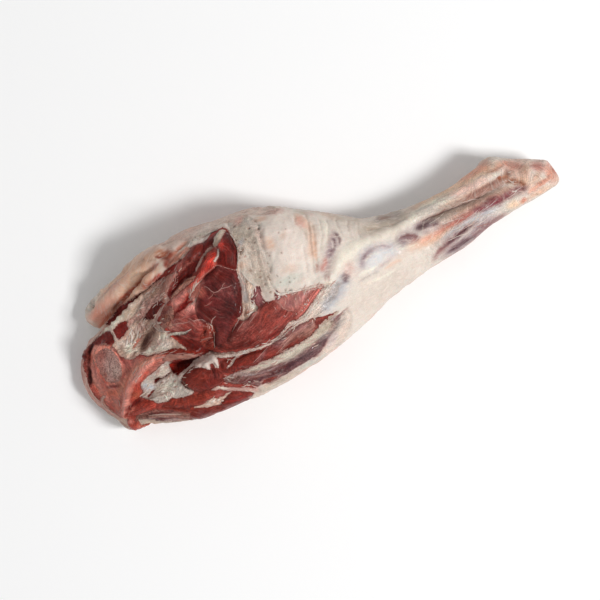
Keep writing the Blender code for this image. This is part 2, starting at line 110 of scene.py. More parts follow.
# A gap is painted shade: the dark reds of the meat laid in a cleft, a slit or a hollow under an overhang,
# where shade falls.
# Tissues of the inner side, each painted over those before it; soft muscle fades into what lies round it:
# name: (tissue, colour, direction of the fibres in degrees, rise,
# how strongly pale threads run through it from 0 to 1, places of its outline)
TISSUES = {
    "open inner side": (MUSCLE, "brick", 12, 0, 0.3, (-253, -24), (-251, -8), (-248, 8), (-242, 18),
     (-232, 26), (-212, 32), (-197, 39), (-178, 46.5), (-168, 49), (-158, 50), (-139, 56), (-131, 59.5),
     (-124, 60.5), (-113, 63.5), (-101, 71), (-97, 72.5), (-90, 71.5), (-77, 74.5), (-70, 74), (-64, 72),
     (-62, 66), (-61.5, 50), (-67, 37), (-70, 33), (-71, 26), (-71, 14), (-70, 2), (-64, 4), (-60, 8),
     (-57, 8), (-56, 5), (-58, 1), (-57, -8), (-50, -9.5), (-40, -8), (-28, -10), (-10, -12), (0, -15.5),
     (-8, -22), (-28, -32), (-40, -38), (-28, -39), (-21, -42), (-22, -52), (-32, -60), (-20, -66),
     (-14, -70), (-24, -77), (-44, -78), (-80, -79), (-112, -88), (-130, -90), (-160, -88), (-175, -82),
     (-200, -72), (-214, -69), (-226, -71), (-232, -67), (-238, -57), (-246, -42)),
    # chump end
    "skin flange": (FAT, "skin pink", 80, 1.2, 0.3, (-256, -32), (-254, -6), (-252, 8), (-249, 19),
     (-240, 24.5), (-233, 26.5), (-227, 30), (-225, 28.5), (-233, 23.5), (-239.5, 20.5), (-243.5, 13),
     (-245.5, 4), (-247, -20), (-245, -30), (-237.5, -45), (-229, -56), (-229, -64), (-231, -69),
     (-238, -60), (-245, -46), (-252, -38)),
    "inside of the flange": (MUSCLE, "brick", 80, 0.4, 0.4, (-246.6, -24), (-246.4, -8), (-245, 4),
     (-242.6, 12), (-239.5, 17), (-238, 15), (-240.6, 8), (-242.8, 0), (-243.4, -10), (-240.4, -16),
     (-239.6, -26), (-243.4, -28.6)),
    "flange nub": (MUSCLE, "wine", 80, 2, 0, (-245.4, 15), (-243, 18.4), (-240.4, 17.6), (-240.4, 14.4),
     (-243.2, 13)),
    "chump face": (SOFT, "salmon", 70, 0.8, 0.4, (-240, 10), (-232, 20), (-223, 22), (-214, 17), (-208, 9),
     (-205, -4), (-204, -12), (-210, -22), (-215, -31), (-222, -40), (-228, -50), (-232, -54), (-238, -44),
     (-242, -30), (-243.6, -10)),
    "chump muscle": (SOFT, "apricot", 65, 0.6, 0.4, (-241, -27), (-236, -24), (-229, -25), (-223, -26),
     (-220, -31), (-223, -39), (-228, -47), (-232, -52), (-237, -46), (-240, -37)),
    "flange cleft": (GAP, "black red", 80, -4, 0, (-245.6, -11), (-243.4, 1), (-237, 16.6), (-232.4, 22),
     (-226, 27), (-223.6, 26.4), (-230.4, 21), (-235.4, 15.6), (-241.6, 0), (-243.8, -9)),
    "dark patch at the flange": (GAP, "wine", 20, -1, 0.2, (-229, 24.4), (-226, 27.4), (-220, 28.2),
     (-213, 27.6), (-208, 28), (-206, 26), (-206, 18), (-214, 17.6), (-218, 20)),
    "dark patch under the fat": (GAP, "wine", 25, -1.4, 0.2, (-204.6, 26), (-200.5, 29), (-188, 31),
     (-185.4, 30), (-187.6, 27), (-194, 20.4), (-203, 18), (-204.6, 21)),
    "fat over the hollow": (FAT, "skin pink", 28, 0.8, 0.9, (-187, 31), (-178, 40), (-166, 47), (-144, 53),
     (-137, 52), (-136, 46), (-142, 40), (-148, 35), (-156, 35), (-164, 31), (-172, 24), (-180, 22),
     (-188, 22)),
    "edge of the back fat": (FAT, "straw", 26, 2.2, 0.5, (-222, 28), (-214, 31), (-209, 34), (-205.6, 33.4),
     (-198, 36), (-170, 46.6), (-163, 48), (-162, 42), (-168, 38), (-184, 31), (-190, 31.6), (-197, 31),
     (-202, 29), (-204.4, 26), (-204, 20), (-203, 16), (-206.6, 16.4), (-206.6, 26), (-209, 29)),
    # painted shade under the overhanging flap, in the dark red of the meat there
    "gap under the flap": (GAP, "wine", 22, -2, 0.3, (-208, 36), (-202, 39), (-190, 45.6), (-166, 48.6),
     (-178, 44.4), (-185, 41), (-199, 36), (-205.6, 33.8)),
    "dark red patch": (GAP, "deep red", 35, -1.2, 0.2, (-172, 25), (-166, 29.6), (-154, 34.6), (-149, 32.6),
     (-151, 30), (-156, 27.6), (-161, 24), (-166, 22.6)),
    "cavity fat": (FAT, "ivory", 34, 1.2, 0.9, (-210, 15), (-203, 17), (-196, 19), (-190, 23), (-183, 26),
     (-174, 25), (-166, 22), (-160, 20), (-160, 14), (-157, 8), (-160, 5), (-168, 5), (-176, 2), (-184, -3),
     (-194, -5), (-202, -4), (-207, 3), (-209, 9)),
    "mauve patch": (SOFT, "old rose", -20, 0.5, 0.3, (-207, -2), (-200, -5), (-193, -6), (-187, -9),
     (-186, -12), (-192, -13.5), (-200, -13), (-208, -15)),
    "fat beside the pubic bone": (FAT, "ivory", 10, 1.6, 0.7, (-187, -4), (-180, -1), (-168, 6), (-161, 8),
     (-156, 4), (-149, -10), (-144, -18), (-149, -17), (-154, -13), (-162, -11), (-181, -9)),
    "hip ridge": (SOFT, "salmon", 28, 2.4, 0.3, (-233, -57), (-228, -49), (-218, -32), (-212, -24),
     (-205, -17), (-196, -12), (-186, -10), (-176, -10.5), (-168, -12), (-166, -17), (-176, -18),
     (-186, -20.5), (-205, -31), (-219, -46), (-226, -56)),
    "band under the ridge": (SOFT, "clay", 24, 0.8, 0.4, (-216, -41), (-208, -33), (-190, -22), (-170, -16),
     (-165, -15.5), (-169, -20), (-178, -23.5), (-197, -30), (-205, -43), (-212, -44)),
    "brown muscle by the ridge": (MUSCLE, "rust", -30, 1, 0.4, (-168, -11.5), (-160, -11.5), (-153, -13.5),
     (-139, -22), (-127, -29.5), (-142, -25.5), (-157, -17), (-164, -14.5)),
    "tail of the ridge": (FAT, "clay", -22, 1.6, 0.4, (-171, -17.5), (-165, -15.5), (-158, -17.5),
     (-144, -24), (-134, -29), (-143, -28.2), (-159, -23), (-167, -22)),
    # lower left
    "upper lobe": (MUSCLE, "red", 35, 2, 0.35, (-217, -41.5), (-210, -35), (-204, -29.5), (-199, -29.5),
     (-201, -34), (-204, -40), (-207, -43.6), (-213, -43.6)),
    "notch": (GAP, "wine", 10, -2.2, 0, (-222, -46.5), (-215, -43.5), (-208, -42), (-206, -43.5),
     (-211, -46), (-217, -48), (-222, -49)),
    "lower lobe": (MUSCLE, "red", 15, 2, 0.3, (-227, -53), (-220, -49), (-212, -46.5), (-204, -46),
     (-198, -48.5), (-195, -52), (-195, -55.5), (-201, -58), (-220, -56.5)),
    "corner skin": (FAT, "sand", 80, 0.6, 0.2, (-238.6, -49), (-234, -52), (-227, -57), (-229.4, -62),
     (-230, -66), (-234, -63), (-238, -56)),
    "corner nub": (MUSCLE, "red", 60, 3, 0.5, (-230.4, -68), (-228.6, -60.6), (-225, -57), (-219, -57),
     (-215.4, -59.6), (-213.6, -69), (-220, -70.6), (-229, -70.6)),
    "lower cavity fat": (FAT, "soft cream", 8, 1, 0.7, (-201, -31), (-196, -29), (-190, -27), (-182, -25.4),
     (-175, -22.5), (-168, -20.5), (-165, -24), (-165, -31), (-164, -37), (-162, -41), (-163, -47),
     (-160, -53), (-156, -58), (-160, -60), (-169, -59.5), (-177, -57), (-186, -56), (-193, -54),
     (-196, -50), (-200, -46), (-204, -42.6), (-201, -37)),
    "upper slit": (GAP, "deep red", 8, -3, 0, (-187.6, -35), (-185.6, -31.6), (-181.6, -31.4),
     (-178.6, -33), (-173, -32.2), (-167, -30), (-172, -33.4), (-184, -34.6)),
    "lower slit": (GAP, "rosy meat", 8, -1.8, 0.2, (-199, -44), (-195, -41.8), (-190.6, -41), (-193, -43.2),
     (-197.6, -45)),
    "deep cleft": (GAP, "wine", 0, -2.8, 0, (-167, -24), (-160, -24.6), (-142, -28), (-133, -29),
     (-125, -30.4), (-127, -32), (-134, -31.4), (-157, -35), (-163, -37), (-167, -33)),
    "fat fingers": (FAT, "cream white", 15, 2.2, 0.15, (-165, -41), (-160, -37), (-154, -34.4),
     (-140, -30.8), (-126, -30.2), (-121.6, -33), (-121.4, -40), (-123, -46.6), (-126, -45), (-127.6, -40),
     (-130.6, -40.6), (-131.6, -46.6), (-135.4, -46), (-137.4, -41.6), (-145, -40.4), (-149, -38.6),
     (-158, -42.6), (-162, -43.6)),
    "round muscle": (MUSCLE, "brown meat", 20, 3.5, 0.15, (-162, -44), (-160, -41), (-148, -37),
     (-137, -41), (-133, -45), (-128, -46), (-125, -50), (-122, -56), (-127, -61.5), (-138, -62),
     (-147, -61), (-154, -58.5), (-160, -52)),
    "lower red muscle": (MUSCLE, "meat", 8, 2.5, 0.25, (-191, -59.5), (-184, -57), (-178, -55.5),
     (-165, -59.5), (-142, -63), (-136, -65), (-138, -68), (-143, -71.5), (-150, -73), (-158, -73),
     (-165, -73.5), (-172, -71.5), (-186, -62.5)),
    "striped band": (MUSCLE, "taupe", -24, 1.8, 1, (-219, -59), (-212, -57), (-198, -59), (-192, -62),
     (-170, -75), (-164, -78), (-166, -83), (-176, -80), (-197, -71), (-215, -62)),
    "streak in the band": (GAP, "dark meat", -24, -0.8, 0, (-204, -65.5), (-196, -68.5), (-188, -72),
     (-181, -75), (-182, -77), (-190, -74), (-198, -70.8), (-204, -67.5)),
    "edge fat": (FAT, "straw", -18, 1.2, 0.5, (-217, -61), (-211, -64), (-205, -67), (-198, -71.5),
     (-177, -80.5), (-167, -83.5), (-156, -86), (-160, -91), (-200, -83), (-215, -74), (-216, -67)),
    "bottom red band": (MUSCLE, "brown meat", 0, 1.5, 0.35, (-170, -78.6), (-163, -74.6), (-150, -78),
     (-143, -79.6), (-138.6, -81), (-136.6, -77.4), (-130, -76), (-122, -74.6), (-108, -80.6), (-101, -84),
     (-110, -87), (-118, -87.5), (-150, -88), (-165, -85)),
    "white streak": (FAT, "ivory", 2, 1.6, 0.5, (-163, -72.6), (-151, -71.6), (-146, -70.6), (-141, -71.4),
     (-137, -73.4), (-122, -72.8), (-129, -75.2), (-135, -76.4), (-137.4, -80.2), (-143, -78.4),
     (-150, -77.4)),
    # inside muscles, far side
    "granular strip": (MUSCLE, "rosy meat", 40, 1.4, 0.9, (-124, 51), (-123, 55), (-119, 60), (-113, 62.5),
     (-108, 61), (-108, 56), (-112, 53), (-118, 51)),
    "upper red band": (MUSCLE, "brown meat", 35, 1.8, 0.3, (-109, 58), (-105, 66), (-100, 70.5), (-93, 71),
     (-88, 69), (-89, 64), (-96, 60), (-104, 56)),
    "brown fat in the strip": (FAT, "salmon", 35, 1, 0.7, (-131, 60), (-124, 65), (-116, 68), (-108, 70),
     (-100, 75), (-97, 73.5), (-103, 69), (-110, 65), (-124, 61)),
    "left end of the strip": (FAT, "clay", 55, 1, 0.8, (-148, 36), (-146, 42), (-141, 46), (-137, 52),
     (-132, 54), (-124, 54), (-123, 50), (-129, 49), (-138, 41), (-141, 37), (-140, 31), (-147, 31)),
    "dark band": (MUSCLE, "wine", 25, 2.2, 0.15, (-141, 35.5), (-136, 41), (-131, 45), (-120, 50.5),
     (-106, 54), (-100, 55.5), (-98, 52.5), (-103, 49), (-108, 46), (-115, 44), (-124, 42.5), (-130, 39.5),
     (-135, 36)),
    "dark tip": (MUSCLE, "wine", 45, 1.6, 0.1, (-93, 60), (-91, 66), (-86, 71), (-79, 73.8), (-72, 73.5),
     (-75, 68), (-84, 60.5), (-89, 58.5)),
    "grey underlay": (FAT, "salmon", 22, 0.6, 0.9, (-139, 32.5), (-127, 39.5), (-112, 43.5), (-108, 41),
     (-116, 38)),
    "vessel strip": (MUSCLE, "red", 32, 2.2, 0.5, (-141, 29), (-132, 32), (-116, 37.5), (-108, 41.5),
     (-96, 50.5), (-92, 55), (-86, 58.5), (-82, 54), (-86, 43.5), (-93, 40), (-110, 35), (-124, 26),
     (-131, 24), (-138, 22)),
    "pink ground of the strip": (SOFT, "rose", 35, 1, 0.6, (-139, 31), (-131, 32.6), (-123, 34), (-118, 33),
     (-124, 28), (-136, 22.6), (-140, 24)),
    "upper right muscle": (MUSCLE, "wine", 75, 3, 0.3, (-84, 43.5), (-76, 35.5), (-70, 32.5), (-66.5, 37),
     (-61.5, 51), (-62.5, 66), (-66, 69), (-73, 63), (-77, 60.5), (-80, 55), (-80, 49)),
    "main muscle": (MUSCLE, "dark meat", -62, 3.2, 0.35, (-112, 32), (-106, 35), (-88, 42), (-84, 42.5),
     (-80, 38.5), (-71.5, 31), (-72, 24), (-73, 18), (-81, -3), (-84, -8), (-90, -11), (-96, -15),
     (-101, -21), (-107, -26), (-114, -28), (-119, -26), (-117, -20), (-114, -14), (-113, -8), (-121, 1),
     (-122, 8), (-120, 15), (-117, 20), (-115, 27)),
    "marbled muscle": (MUSCLE, "brick", -30, 3, 0.9, (-157, 9), (-149, 12), (-143, 14), (-137, 19),
     (-131, 18), (-127, 13), (-122, 5), (-120, -2), (-123, -8), (-129, -13), (-134, -16), (-141, -10),
     (-152, 2)),
    "strip over the marbled muscle": (SOFT, "blush", 35, 1.8, 0.5, (-132, 17), (-125, 21), (-111, 33),
     (-104, 36), (-108, 30), (-114, 24), (-119, 16), (-122, 10), (-128, 12)),
    "slit": (GAP, "blood", 30, -2.5, 0, (-138.6, 18), (-134, 21.4), (-128, 24), (-122, 27.8),
     (-120.6, 26.6), (-125, 23), (-120, 21.6), (-127, 20), (-134, 17.6)),
    "dark wedge": (GAP, "wine", -48, -1.5, 0.3, (-155, 0), (-151, -5), (-147, -12), (-140, -20),
     (-134, -25), (-127, -29), (-129, -20), (-134, -14), (-148, -2)),
    "vessel area": (MUSCLE, "meat", 0, 0.8, 0.9, (-130, -16), (-121, -6), (-116, -3), (-112, -7),
     (-112.5, -13), (-116, -19), (-119, -26), (-124, -28), (-129, -22)),
    # lower middle
    "lower middle muscle": (MUSCLE, "rosy meat", 14, 3.2, 0.6, (-117, -30), (-112, -27), (-106, -26),
     (-100, -22), (-95, -17), (-88, -14), (-76, -12), (-68, -9), (-62, -3), (-58, -7), (-50, -11),
     (-44, -22), (-38, -25), (-33, -26), (-36, -32), (-38, -35), (-44, -35), (-52, -38), (-68, -41.5),
     (-88, -41), (-106, -35.5), (-113, -33)),
    "cross-cut muscle": (SOFT, "skin pink", 60, 2, 0.9, (-48, -10.5), (-42, -9), (-34, -10), (-24, -10.5),
     (-14, -12), (-5, -14.5), (-10, -16.5), (-18, -18), (-32, -25.5), (-38, -25), (-43, -20), (-46, -15)),
    "bright strip": (MUSCLE, "old rose", 25, 1.8, 1, (-38, -35.5), (-30, -26), (-16, -18.3), (-8, -15.8),
     (-3, -16.2), (1, -15.6), (-4, -19), (-20, -27), (-28, -31.5)),
    "long seam": (FAT, "cream", 10, 1.4, 0.9, (-125, -30), (-119, -33), (-102, -40), (-82, -43.5),
     (-72, -44.7), (-64, -43.5), (-56, -40), (-49, -36), (-42, -34.5), (-37, -35.5), (-26, -31), (-10, -22),
     (4, -14), (12, -20), (0, -32), (-16, -40), (-40, -40.5), (-68, -46.7), (-90, -45), (-100, -44.5),
     (-106, -47), (-116, -51), (-112, -47), (-105, -43.5), (-113, -41), (-121, -36)),
    "red strip in the seam": (MUSCLE, "brick", 14, 0.4, 0.9, (-66, -44.8), (-58, -42.3), (-50, -39.3),
     (-43, -37.5), (-46, -39.8), (-54, -42), (-60, -44)),
    "red band": (MUSCLE, "brown meat", 6, 2.6, 0.4, (-122, -49), (-119, -42), (-112, -43), (-106, -45.5),
     (-92, -45), (-70, -47.5), (-40, -42), (-30, -40.5), (-22, -40), (-22, -46), (-32, -54), (-40, -57),
     (-50, -57), (-70, -59), (-95, -58), (-104, -56.5), (-112, -56), (-118, -54)),
    "grey end of the red band": (SOFT, "taupe", 10, 2.4, 1, (-66, -46.5), (-54, -44.5), (-30, -40.5),
     (-22, -40), (-22, -46), (-32, -54), (-38, -52), (-46, -50), (-56, -50), (-62, -49)),
    "purple band": (FAT, "heather", 4, 1, 0.9, (-124, -60), (-116, -57.6), (-88, -58), (-60, -58),
     (-16, -51), (0, -47), (12, -44), (2, -52), (-22, -69), (-36, -76), (-52, -79), (-70, -81), (-90, -80),
     (-98, -77), (-116, -67)),
    "white band": (FAT, "straw", 4, 2, 0.6, (-112, -58), (-96, -59.5), (-58, -58.7), (-48, -57.3),
     (-40, -57), (-32, -54.5), (-12, -46), (2, -43), (-10, -53), (-24, -60), (-56, -66.5), (-66, -67),
     (-86, -65), (-102, -61.5)),
    "bottom fat": (FAT, "cream", 3, 1.2, 0.4, (-104, -83), (-98, -78.4), (-91, -78.2), (-84, -80.4),
     (-76, -80.2), (-68, -78.6), (-60, -77.4), (-50, -76), (-40, -74), (-32, -74), (-22, -68), (-10, -61),
     (0, -54), (10, -46), (10, -56), (-6, -72), (-26, -82), (-50, -87), (-70, -91), (-110, -91)),
    "white fold": (FAT, "dusty pink", -25, 1.6, 0.4, (-139.6, -63.4), (-133, -62.6), (-127, -65),
     (-120, -69.4), (-104, -77), (-97, -80.6), (-101, -83.4), (-107, -80), (-130, -67.6), (-136, -65.6)),
    "red spot": (MUSCLE, "rosy meat", 4, 0.5, 0.4, (-93, -77), (-88, -75), (-82, -75), (-76, -77),
     (-83, -79.3), (-90, -79)),
    "small red patch": (MUSCLE, "rosy meat", 5, 0.6, 0.3, (-22, -46), (-21, -42), (-18, -40.5), (-14, -42),
     (-9, -42), (-4, -43), (1, -42.6), (-4, -45), (-8, -44.5), (-10, -47), (-12, -46), (-18, -47.8)),
    # beside the fat cap
    "cap notch": (MUSCLE, "heather", 70, 0.5, 0.5, (-69, -2), (-67, 2), (-64, 5), (-62, 8.5), (-59, 10),
     (-56, 9), (-54.5, 7), (-57, 4), (-58, -1), (-57.5, -6), (-60, -9), (-64, -10), (-66, -6)),
    "pale lobe": (FAT, "soft cream", 80, 1.6, 0.1, (-55.5, 9), (-51, 12), (-47, 10), (-45, 4), (-44.5, -3),
     (-47, -8.5), (-51, -9.5), (-55, -8), (-57.5, -3)),
    "film at the fringe": (MUSCLE, "heather", 60, 1.2, 0.6, (-48, -9.5), (-46.5, -4), (-44, -2), (-42, -5),
     (-40, -8), (-44, -10)),
    "shreds by the cap": (FAT, "ivory", 62, 1, 0.9, (-88, -11), (-82, -9), (-79, -2), (-73.5, 13),
     (-71, 28), (-68, 34), (-64, 32), (-62, 20), (-63, 8), (-68, 2), (-69, -4), (-66, -9), (-70, -12),
     (-82, -15)),
    "bluish film": (FAT, "ash", 75, 0.6, 0.3, (-76, 2), (-74.5, 10), (-72.5, 18), (-71.5, 26), (-67.5, 28),
     (-67, 20), (-71, 2), (-73, -1)),
    # rough places of the cap
    "rough strip of the cap": (FAT, "soft cream", 84, 1.4, 0.55, (-60, 76), (-50, 76), (-40, 72), (-33, 64),
     (-36, 50), (-41, 20), (-43, 8), (-50, 2), (-57, 12), (-64, 20), (-68, 32), (-62, 42), (-60, 58),
     (-62, 68)),
    "far edge of the cap": (FAT, "beige", 4, 1.2, 0.45, (-128, 82), (-112, 80), (-100, 76), (-84, 75),
     (-66, 77), (-40, 74), (-24, 68), (-12, 66), (-18, 76), (-44, 86), (-90, 90), (-126, 90)),
}

# Narrow strips of sinew and fat: (colour, width, rise, places along it)
STRIPS = [
    ("dusty pink", 2, 0.6, (-106, 47), (-101.6, 50.6), (-97, 54.6), (-92, 58.6)),
    ("dusty pink", 2.2, 1, (-93, 57), (-88, 60.2), (-82.6, 61.4)),
    ("cream white", 2.2, 1.4, (-86, 46.6), (-82, 49.4), (-79.4, 53), (-78.6, 57)),
    ("white", 3, 0.6, (-155, 1.5), (-150, 0.6), (-144, -1.4), (-137, -3)),
    ("straw", 7, 2.4, (-79.6, 61.6), (-74.6, 65.2), (-70, 68.6), (-67, 70.4)),
    ("dusty pink", 2, 1.2, (-163, 13.6), (-161.4, 18), (-157.4, 22.6), (-151.6, 27), (-144, 30.4)),
    ("cream", 2.4, 1, (-163.5, 14), (-161, 9), (-157, 6), (-152, 4)),
    ("rose", 2.6, 1.8, (-238.4, -27.6), (-241.4, -27.4), (-243.6, -31), (-243, -36), (-240.6, -41),
     (-237.4, -46.6), (-233.6, -51.4)),
    ("beige", 1.6, 0.8, (-246, 21), (-238, 23), (-230.5, 25.5), (-222, 29.5), (-213, 32.6), (-205, 35)),
    ("rose", 1.8, 0.8, (-248.6, -6), (-249.4, -20), (-247.4, -30), (-244, -36)),
    ("cream", 2.2, 1.2, (-206.4, 32), (-205.4, 26), (-205.4, 17)),
    # the cream white of this strip is a painted highlight on the small nub at the end of the round muscle
    ("cream white", 2.6, 1.4, (-121.8, -57.2), (-118.6, -59), (-115.4, -60.6)),
    ("cream", 1.7, 0.8, (-116, -49.6), (-110, -47.6), (-104, -44.4)),
    ("cream white", 6.6, 1.8, (-103, 71.6), (-96, 72.8), (-88, 72.6), (-80, 74)),
    ("old rose", 2.6, 1, (-131.4, 49), (-127.6, 51), (-124.4, 51.4)),
]

# Soft patches of colour, on the fat and on the muscle:
# (x, y, half length, half width, turn in degrees, colour, strength)
FAT_STAINS = [
    # lower middle
    (-128, -66, 6, 1.8, -26, "white", 0.8),
    # ridge, cavity and lower cavity
    (-193, 7, 8, 5, 40, "white", 0.8), (-195, 19, 5, 3, 30, "clay", 0.6), (-204, 8, 4, 6, 0, "taupe", 0.7),
    (-177, 18, 7, 4, 40, "rose", 0.7), (-165, 14, 5, 4, 30, "clay", 0.7),
    (-181, 27, 8, 3, 28, "warm grey", 0.7), (-152, 44, 9, 5, 20, "sand", 0.7),
    # the ash stain at (-196, -46) is painted shade in the lower cavity
    (-157, 0, 4, 3, 0, "ash", 0.6), (-196, -46, 6, 2.4, -10, "ash", 0.85),
    (-187, -47, 7, 3, -20, "warm grey", 0.7), (-174, -44, 9, 5, 10, "white", 0.7),
    (-178, -29, 7, 2, 16, "straw", 0.7),
    # flap and far edge
    (-172, 62, 46, 24, 22, "peach", 1), (-210, 48, 13, 11, 30, "salmon", 0.95),
    (-200, 52, 16, 4, 16, "salmon", 0.7), (-206, 41, 12, 3.4, 20, "coral", 0.8),
    (-190, 60, 18, 5, 20, "ivory", 0.6), (-199, 56, 14, 4, 22, "salmon", 0.5),
    (-165, 68, 13, 5, 18, "rose", 0.5), (-162, 68, 16, 5, 20, "warm cream", 0.7),
    # the stains along the flap's crease on this line and the next are partly painted shade under the lip,
    # over the fold's own reddish colour
    (-176, 54.5, 15, 2.2, 17, "coral", 0.95), (-160, 58.5, 10, 2.2, 24, "rust", 0.9),
    (-190, 49.5, 9, 2.4, 18, "apricot", 0.85), (-141, 64.5, 7, 1.6, 20, "red", 0.8),
    (-186, 64, 9, 2.4, 24, "rose", 0.6), (-150, 60, 10, 3, 30, "skin pink", 0.8),
    (-125, 71, 7, 8, 60, "meat", 0.9), (-129, 64, 4, 3, 40, "rust", 0.8), (-130, 76, 8, 4, -40, "tan", 0.7),
    (-146, 75, 14, 5, 8, "sand", 0.8), (-141, 66, 6, 4, 30, "clay", 0.7),
    (-150, 62.6, 7, 2, 26, "tan", 0.5), (-133, 73, 5, 1.6, -35, "meat", 0.8),
    (-138, 81, 18, 3, 4, "beige", 0.7), (-142, 56, 6, 2.4, 20, "scarlet", 0.85),
    (-112, 78, 16, 5, -4, "beige", 0.8), (-113, 72.5, 12, 2.2, 18, "apricot", 0.8),
    (-118, 69, 10, 2.2, 30, "salmon", 0.7),
    # fat cap
    (-52, 52, 14, 22, 4, "straw", 0.7), (-52, 24, 12, 24, 4, "straw", 0.75),
    # the beige stain at (-36.5, 48) is painted shade along the raised edge of the cushion
    (-55, 36, 4, 12, 10, "soft cream", 0.7), (-36.5, 48, 3.4, 16, 8, "beige", 0.8),
    (-64, 33, 5, 4, 0, "sand", 0.6), (-58, 62, 6, 4, 0, "straw", 0.6),
    (-56, 53, 7, 3, 40, "blue film", 0.6), (-90, 75, 10, 3, 4, "white", 0.7),
    (-82, 80, 20, 4, 2, "cream white", 0.7), (-16, 34, 22, 34, 4, "cream white", 0.95),
    (-31, 41, 5, 7, 0, "peach", 0.75), (-17, 42, 5, 3, 30, "ivory", 0.6), (-24, 12, 9, 5, 0, "ivory", 0.5),
    (-30, 3, 16, 5, 0, "sage white", 0.7), (-69, -6, 5, 6, 0, "white", 0.8),
    (-77, -10, 5, 3, 0, "apricot", 0.7), (-66, 14, 3, 8, 20, "straw", 0.6),
    (-40, 76, 24, 4, -12, "cream", 0.8), (-70, 80, 20, 3, 0, "cream", 0.7),
    (-50, 74, 7, 4, 20, "rose", 0.7), (-30, 66, 8, 2.6, -14, "sand", 0.7),
    (-14, 66, 10, 3.6, -14, "dusty pink", 0.8), (3, 51, 4, 6, 10, "peach", 0.75),
    (9, 56, 6, 2.4, -30, "straw", 0.7), (30, 45, 14, 4, -42, "ivory", 0.7),
    # lower edge of the thigh
    (-10, -56, 12, 6, 18, "straw", 0.6), (-18, -60, 9, 4, 10, "ash", 0.8),
    (-24, -66, 9, 3, 24, "dark plum", 0.6), (-5, -48, 4, 2, 20, "mauve", 0.7),
    (-2, -55, 12, 4.4, 34, "ash", 0.7), (8, -47, 9, 4, 34, "soft cream", 0.7),
    (-14, -66, 10, 3.4, 34, "pearl", 0.7), (-200, -36, 3, 4, 60, "mauve", 0.6),
    (220, 8, 16, 12, 0, "apricot", 0.3), (222, -8, 16, 6, 0, "peach", 0.5),
    (212, 16, 12, 8, 0, "salmon", 0.4), (-80, -82, 30, 3, 2, "straw", 0.8),
    (-40, -78, 20, 3, 4, "sage white", 0.7),
    # hock
    (247, 3, 4, 9, -10, "rose", 0.7), (241, 10, 5, 4, -30, "clay", 0.5),
    (197.5, 10.5, 3, 2.4, -20, "rosy meat", 0.8), (207, 11.5, 6, 3.6, -10, "taupe", 0.8),
    (223, 6, 6, 5, 20, "sand", 0.8), (236, 4, 8, 5, -30, "old rose", 0.8), (231, -3, 8, 3, 30, "sand", 0.7),
    (233, -9.5, 10, 2.6, 4, "apricot", 0.7), (222, -12, 8, 3, 0, "salmon", 0.6),
    (244, -6, 6, 9, 0, "apricot", 0.7), (250, -1, 2.4, 7, -12, "meat", 0.7),
    # the cream white stain at (214.5, -12) is a painted highlight on the hock
    (214.5, -12, 2.6, 5, 0, "cream white", 0.9), (210, -17, 5, 2.6, 0, "apricot", 0.8),
    (200, -17, 8, 3.6, 0, "warm cream", 0.9), (228, -16.5, 16, 3, 4, "peach", 0.8),
    (216, 14, 10, 4, -28, "clay", 0.7),
    # chump end and cavities, in finer steps
    (-193, -37, 6, 4, -30, "bluish white", 0.95), (-197, -33, 4, 2.6, 30, "blue film", 0.7),
    (-185, -41, 8, 3, 10, "straw", 0.7), (-176, -38, 10, 2, 8, "cream white", 0.8),
    (-170, -50, 8, 5, 10, "cream white", 0.7), (-201, -41, 2.6, 4, 30, "warm grey", 0.8),
    (-178, -6, 9, 3, -8, "soft cream", 0.7), (-164, -6, 8, 4, -20, "cream white", 0.8),
    (-160, 2, 5, 3, 20, "white", 0.8), (-172, 36, 9, 3, 28, "warm grey", 0.7),
    (-164, 42, 9, 4, 24, "beige", 0.8), (-196, 34, 12, 2.4, 24, "white", 0.8),
    (-177, 42, 9, 2.4, 22, "cream white", 0.5), (-210, 31, 4, 2, 0, "white", 0.8),
    (-205, 12, 2, 6, 0, "soft cream", 0.7), (-198, 6, 5, 5, 30, "white", 0.8),
    (-178, 22, 8, 2, 30, "clay", 0.6), (-208, -69.6, 8, 2.4, -24, "peach", 0.8),
    (-192, -76, 10, 2.2, -24, "soft cream", 0.8),
]
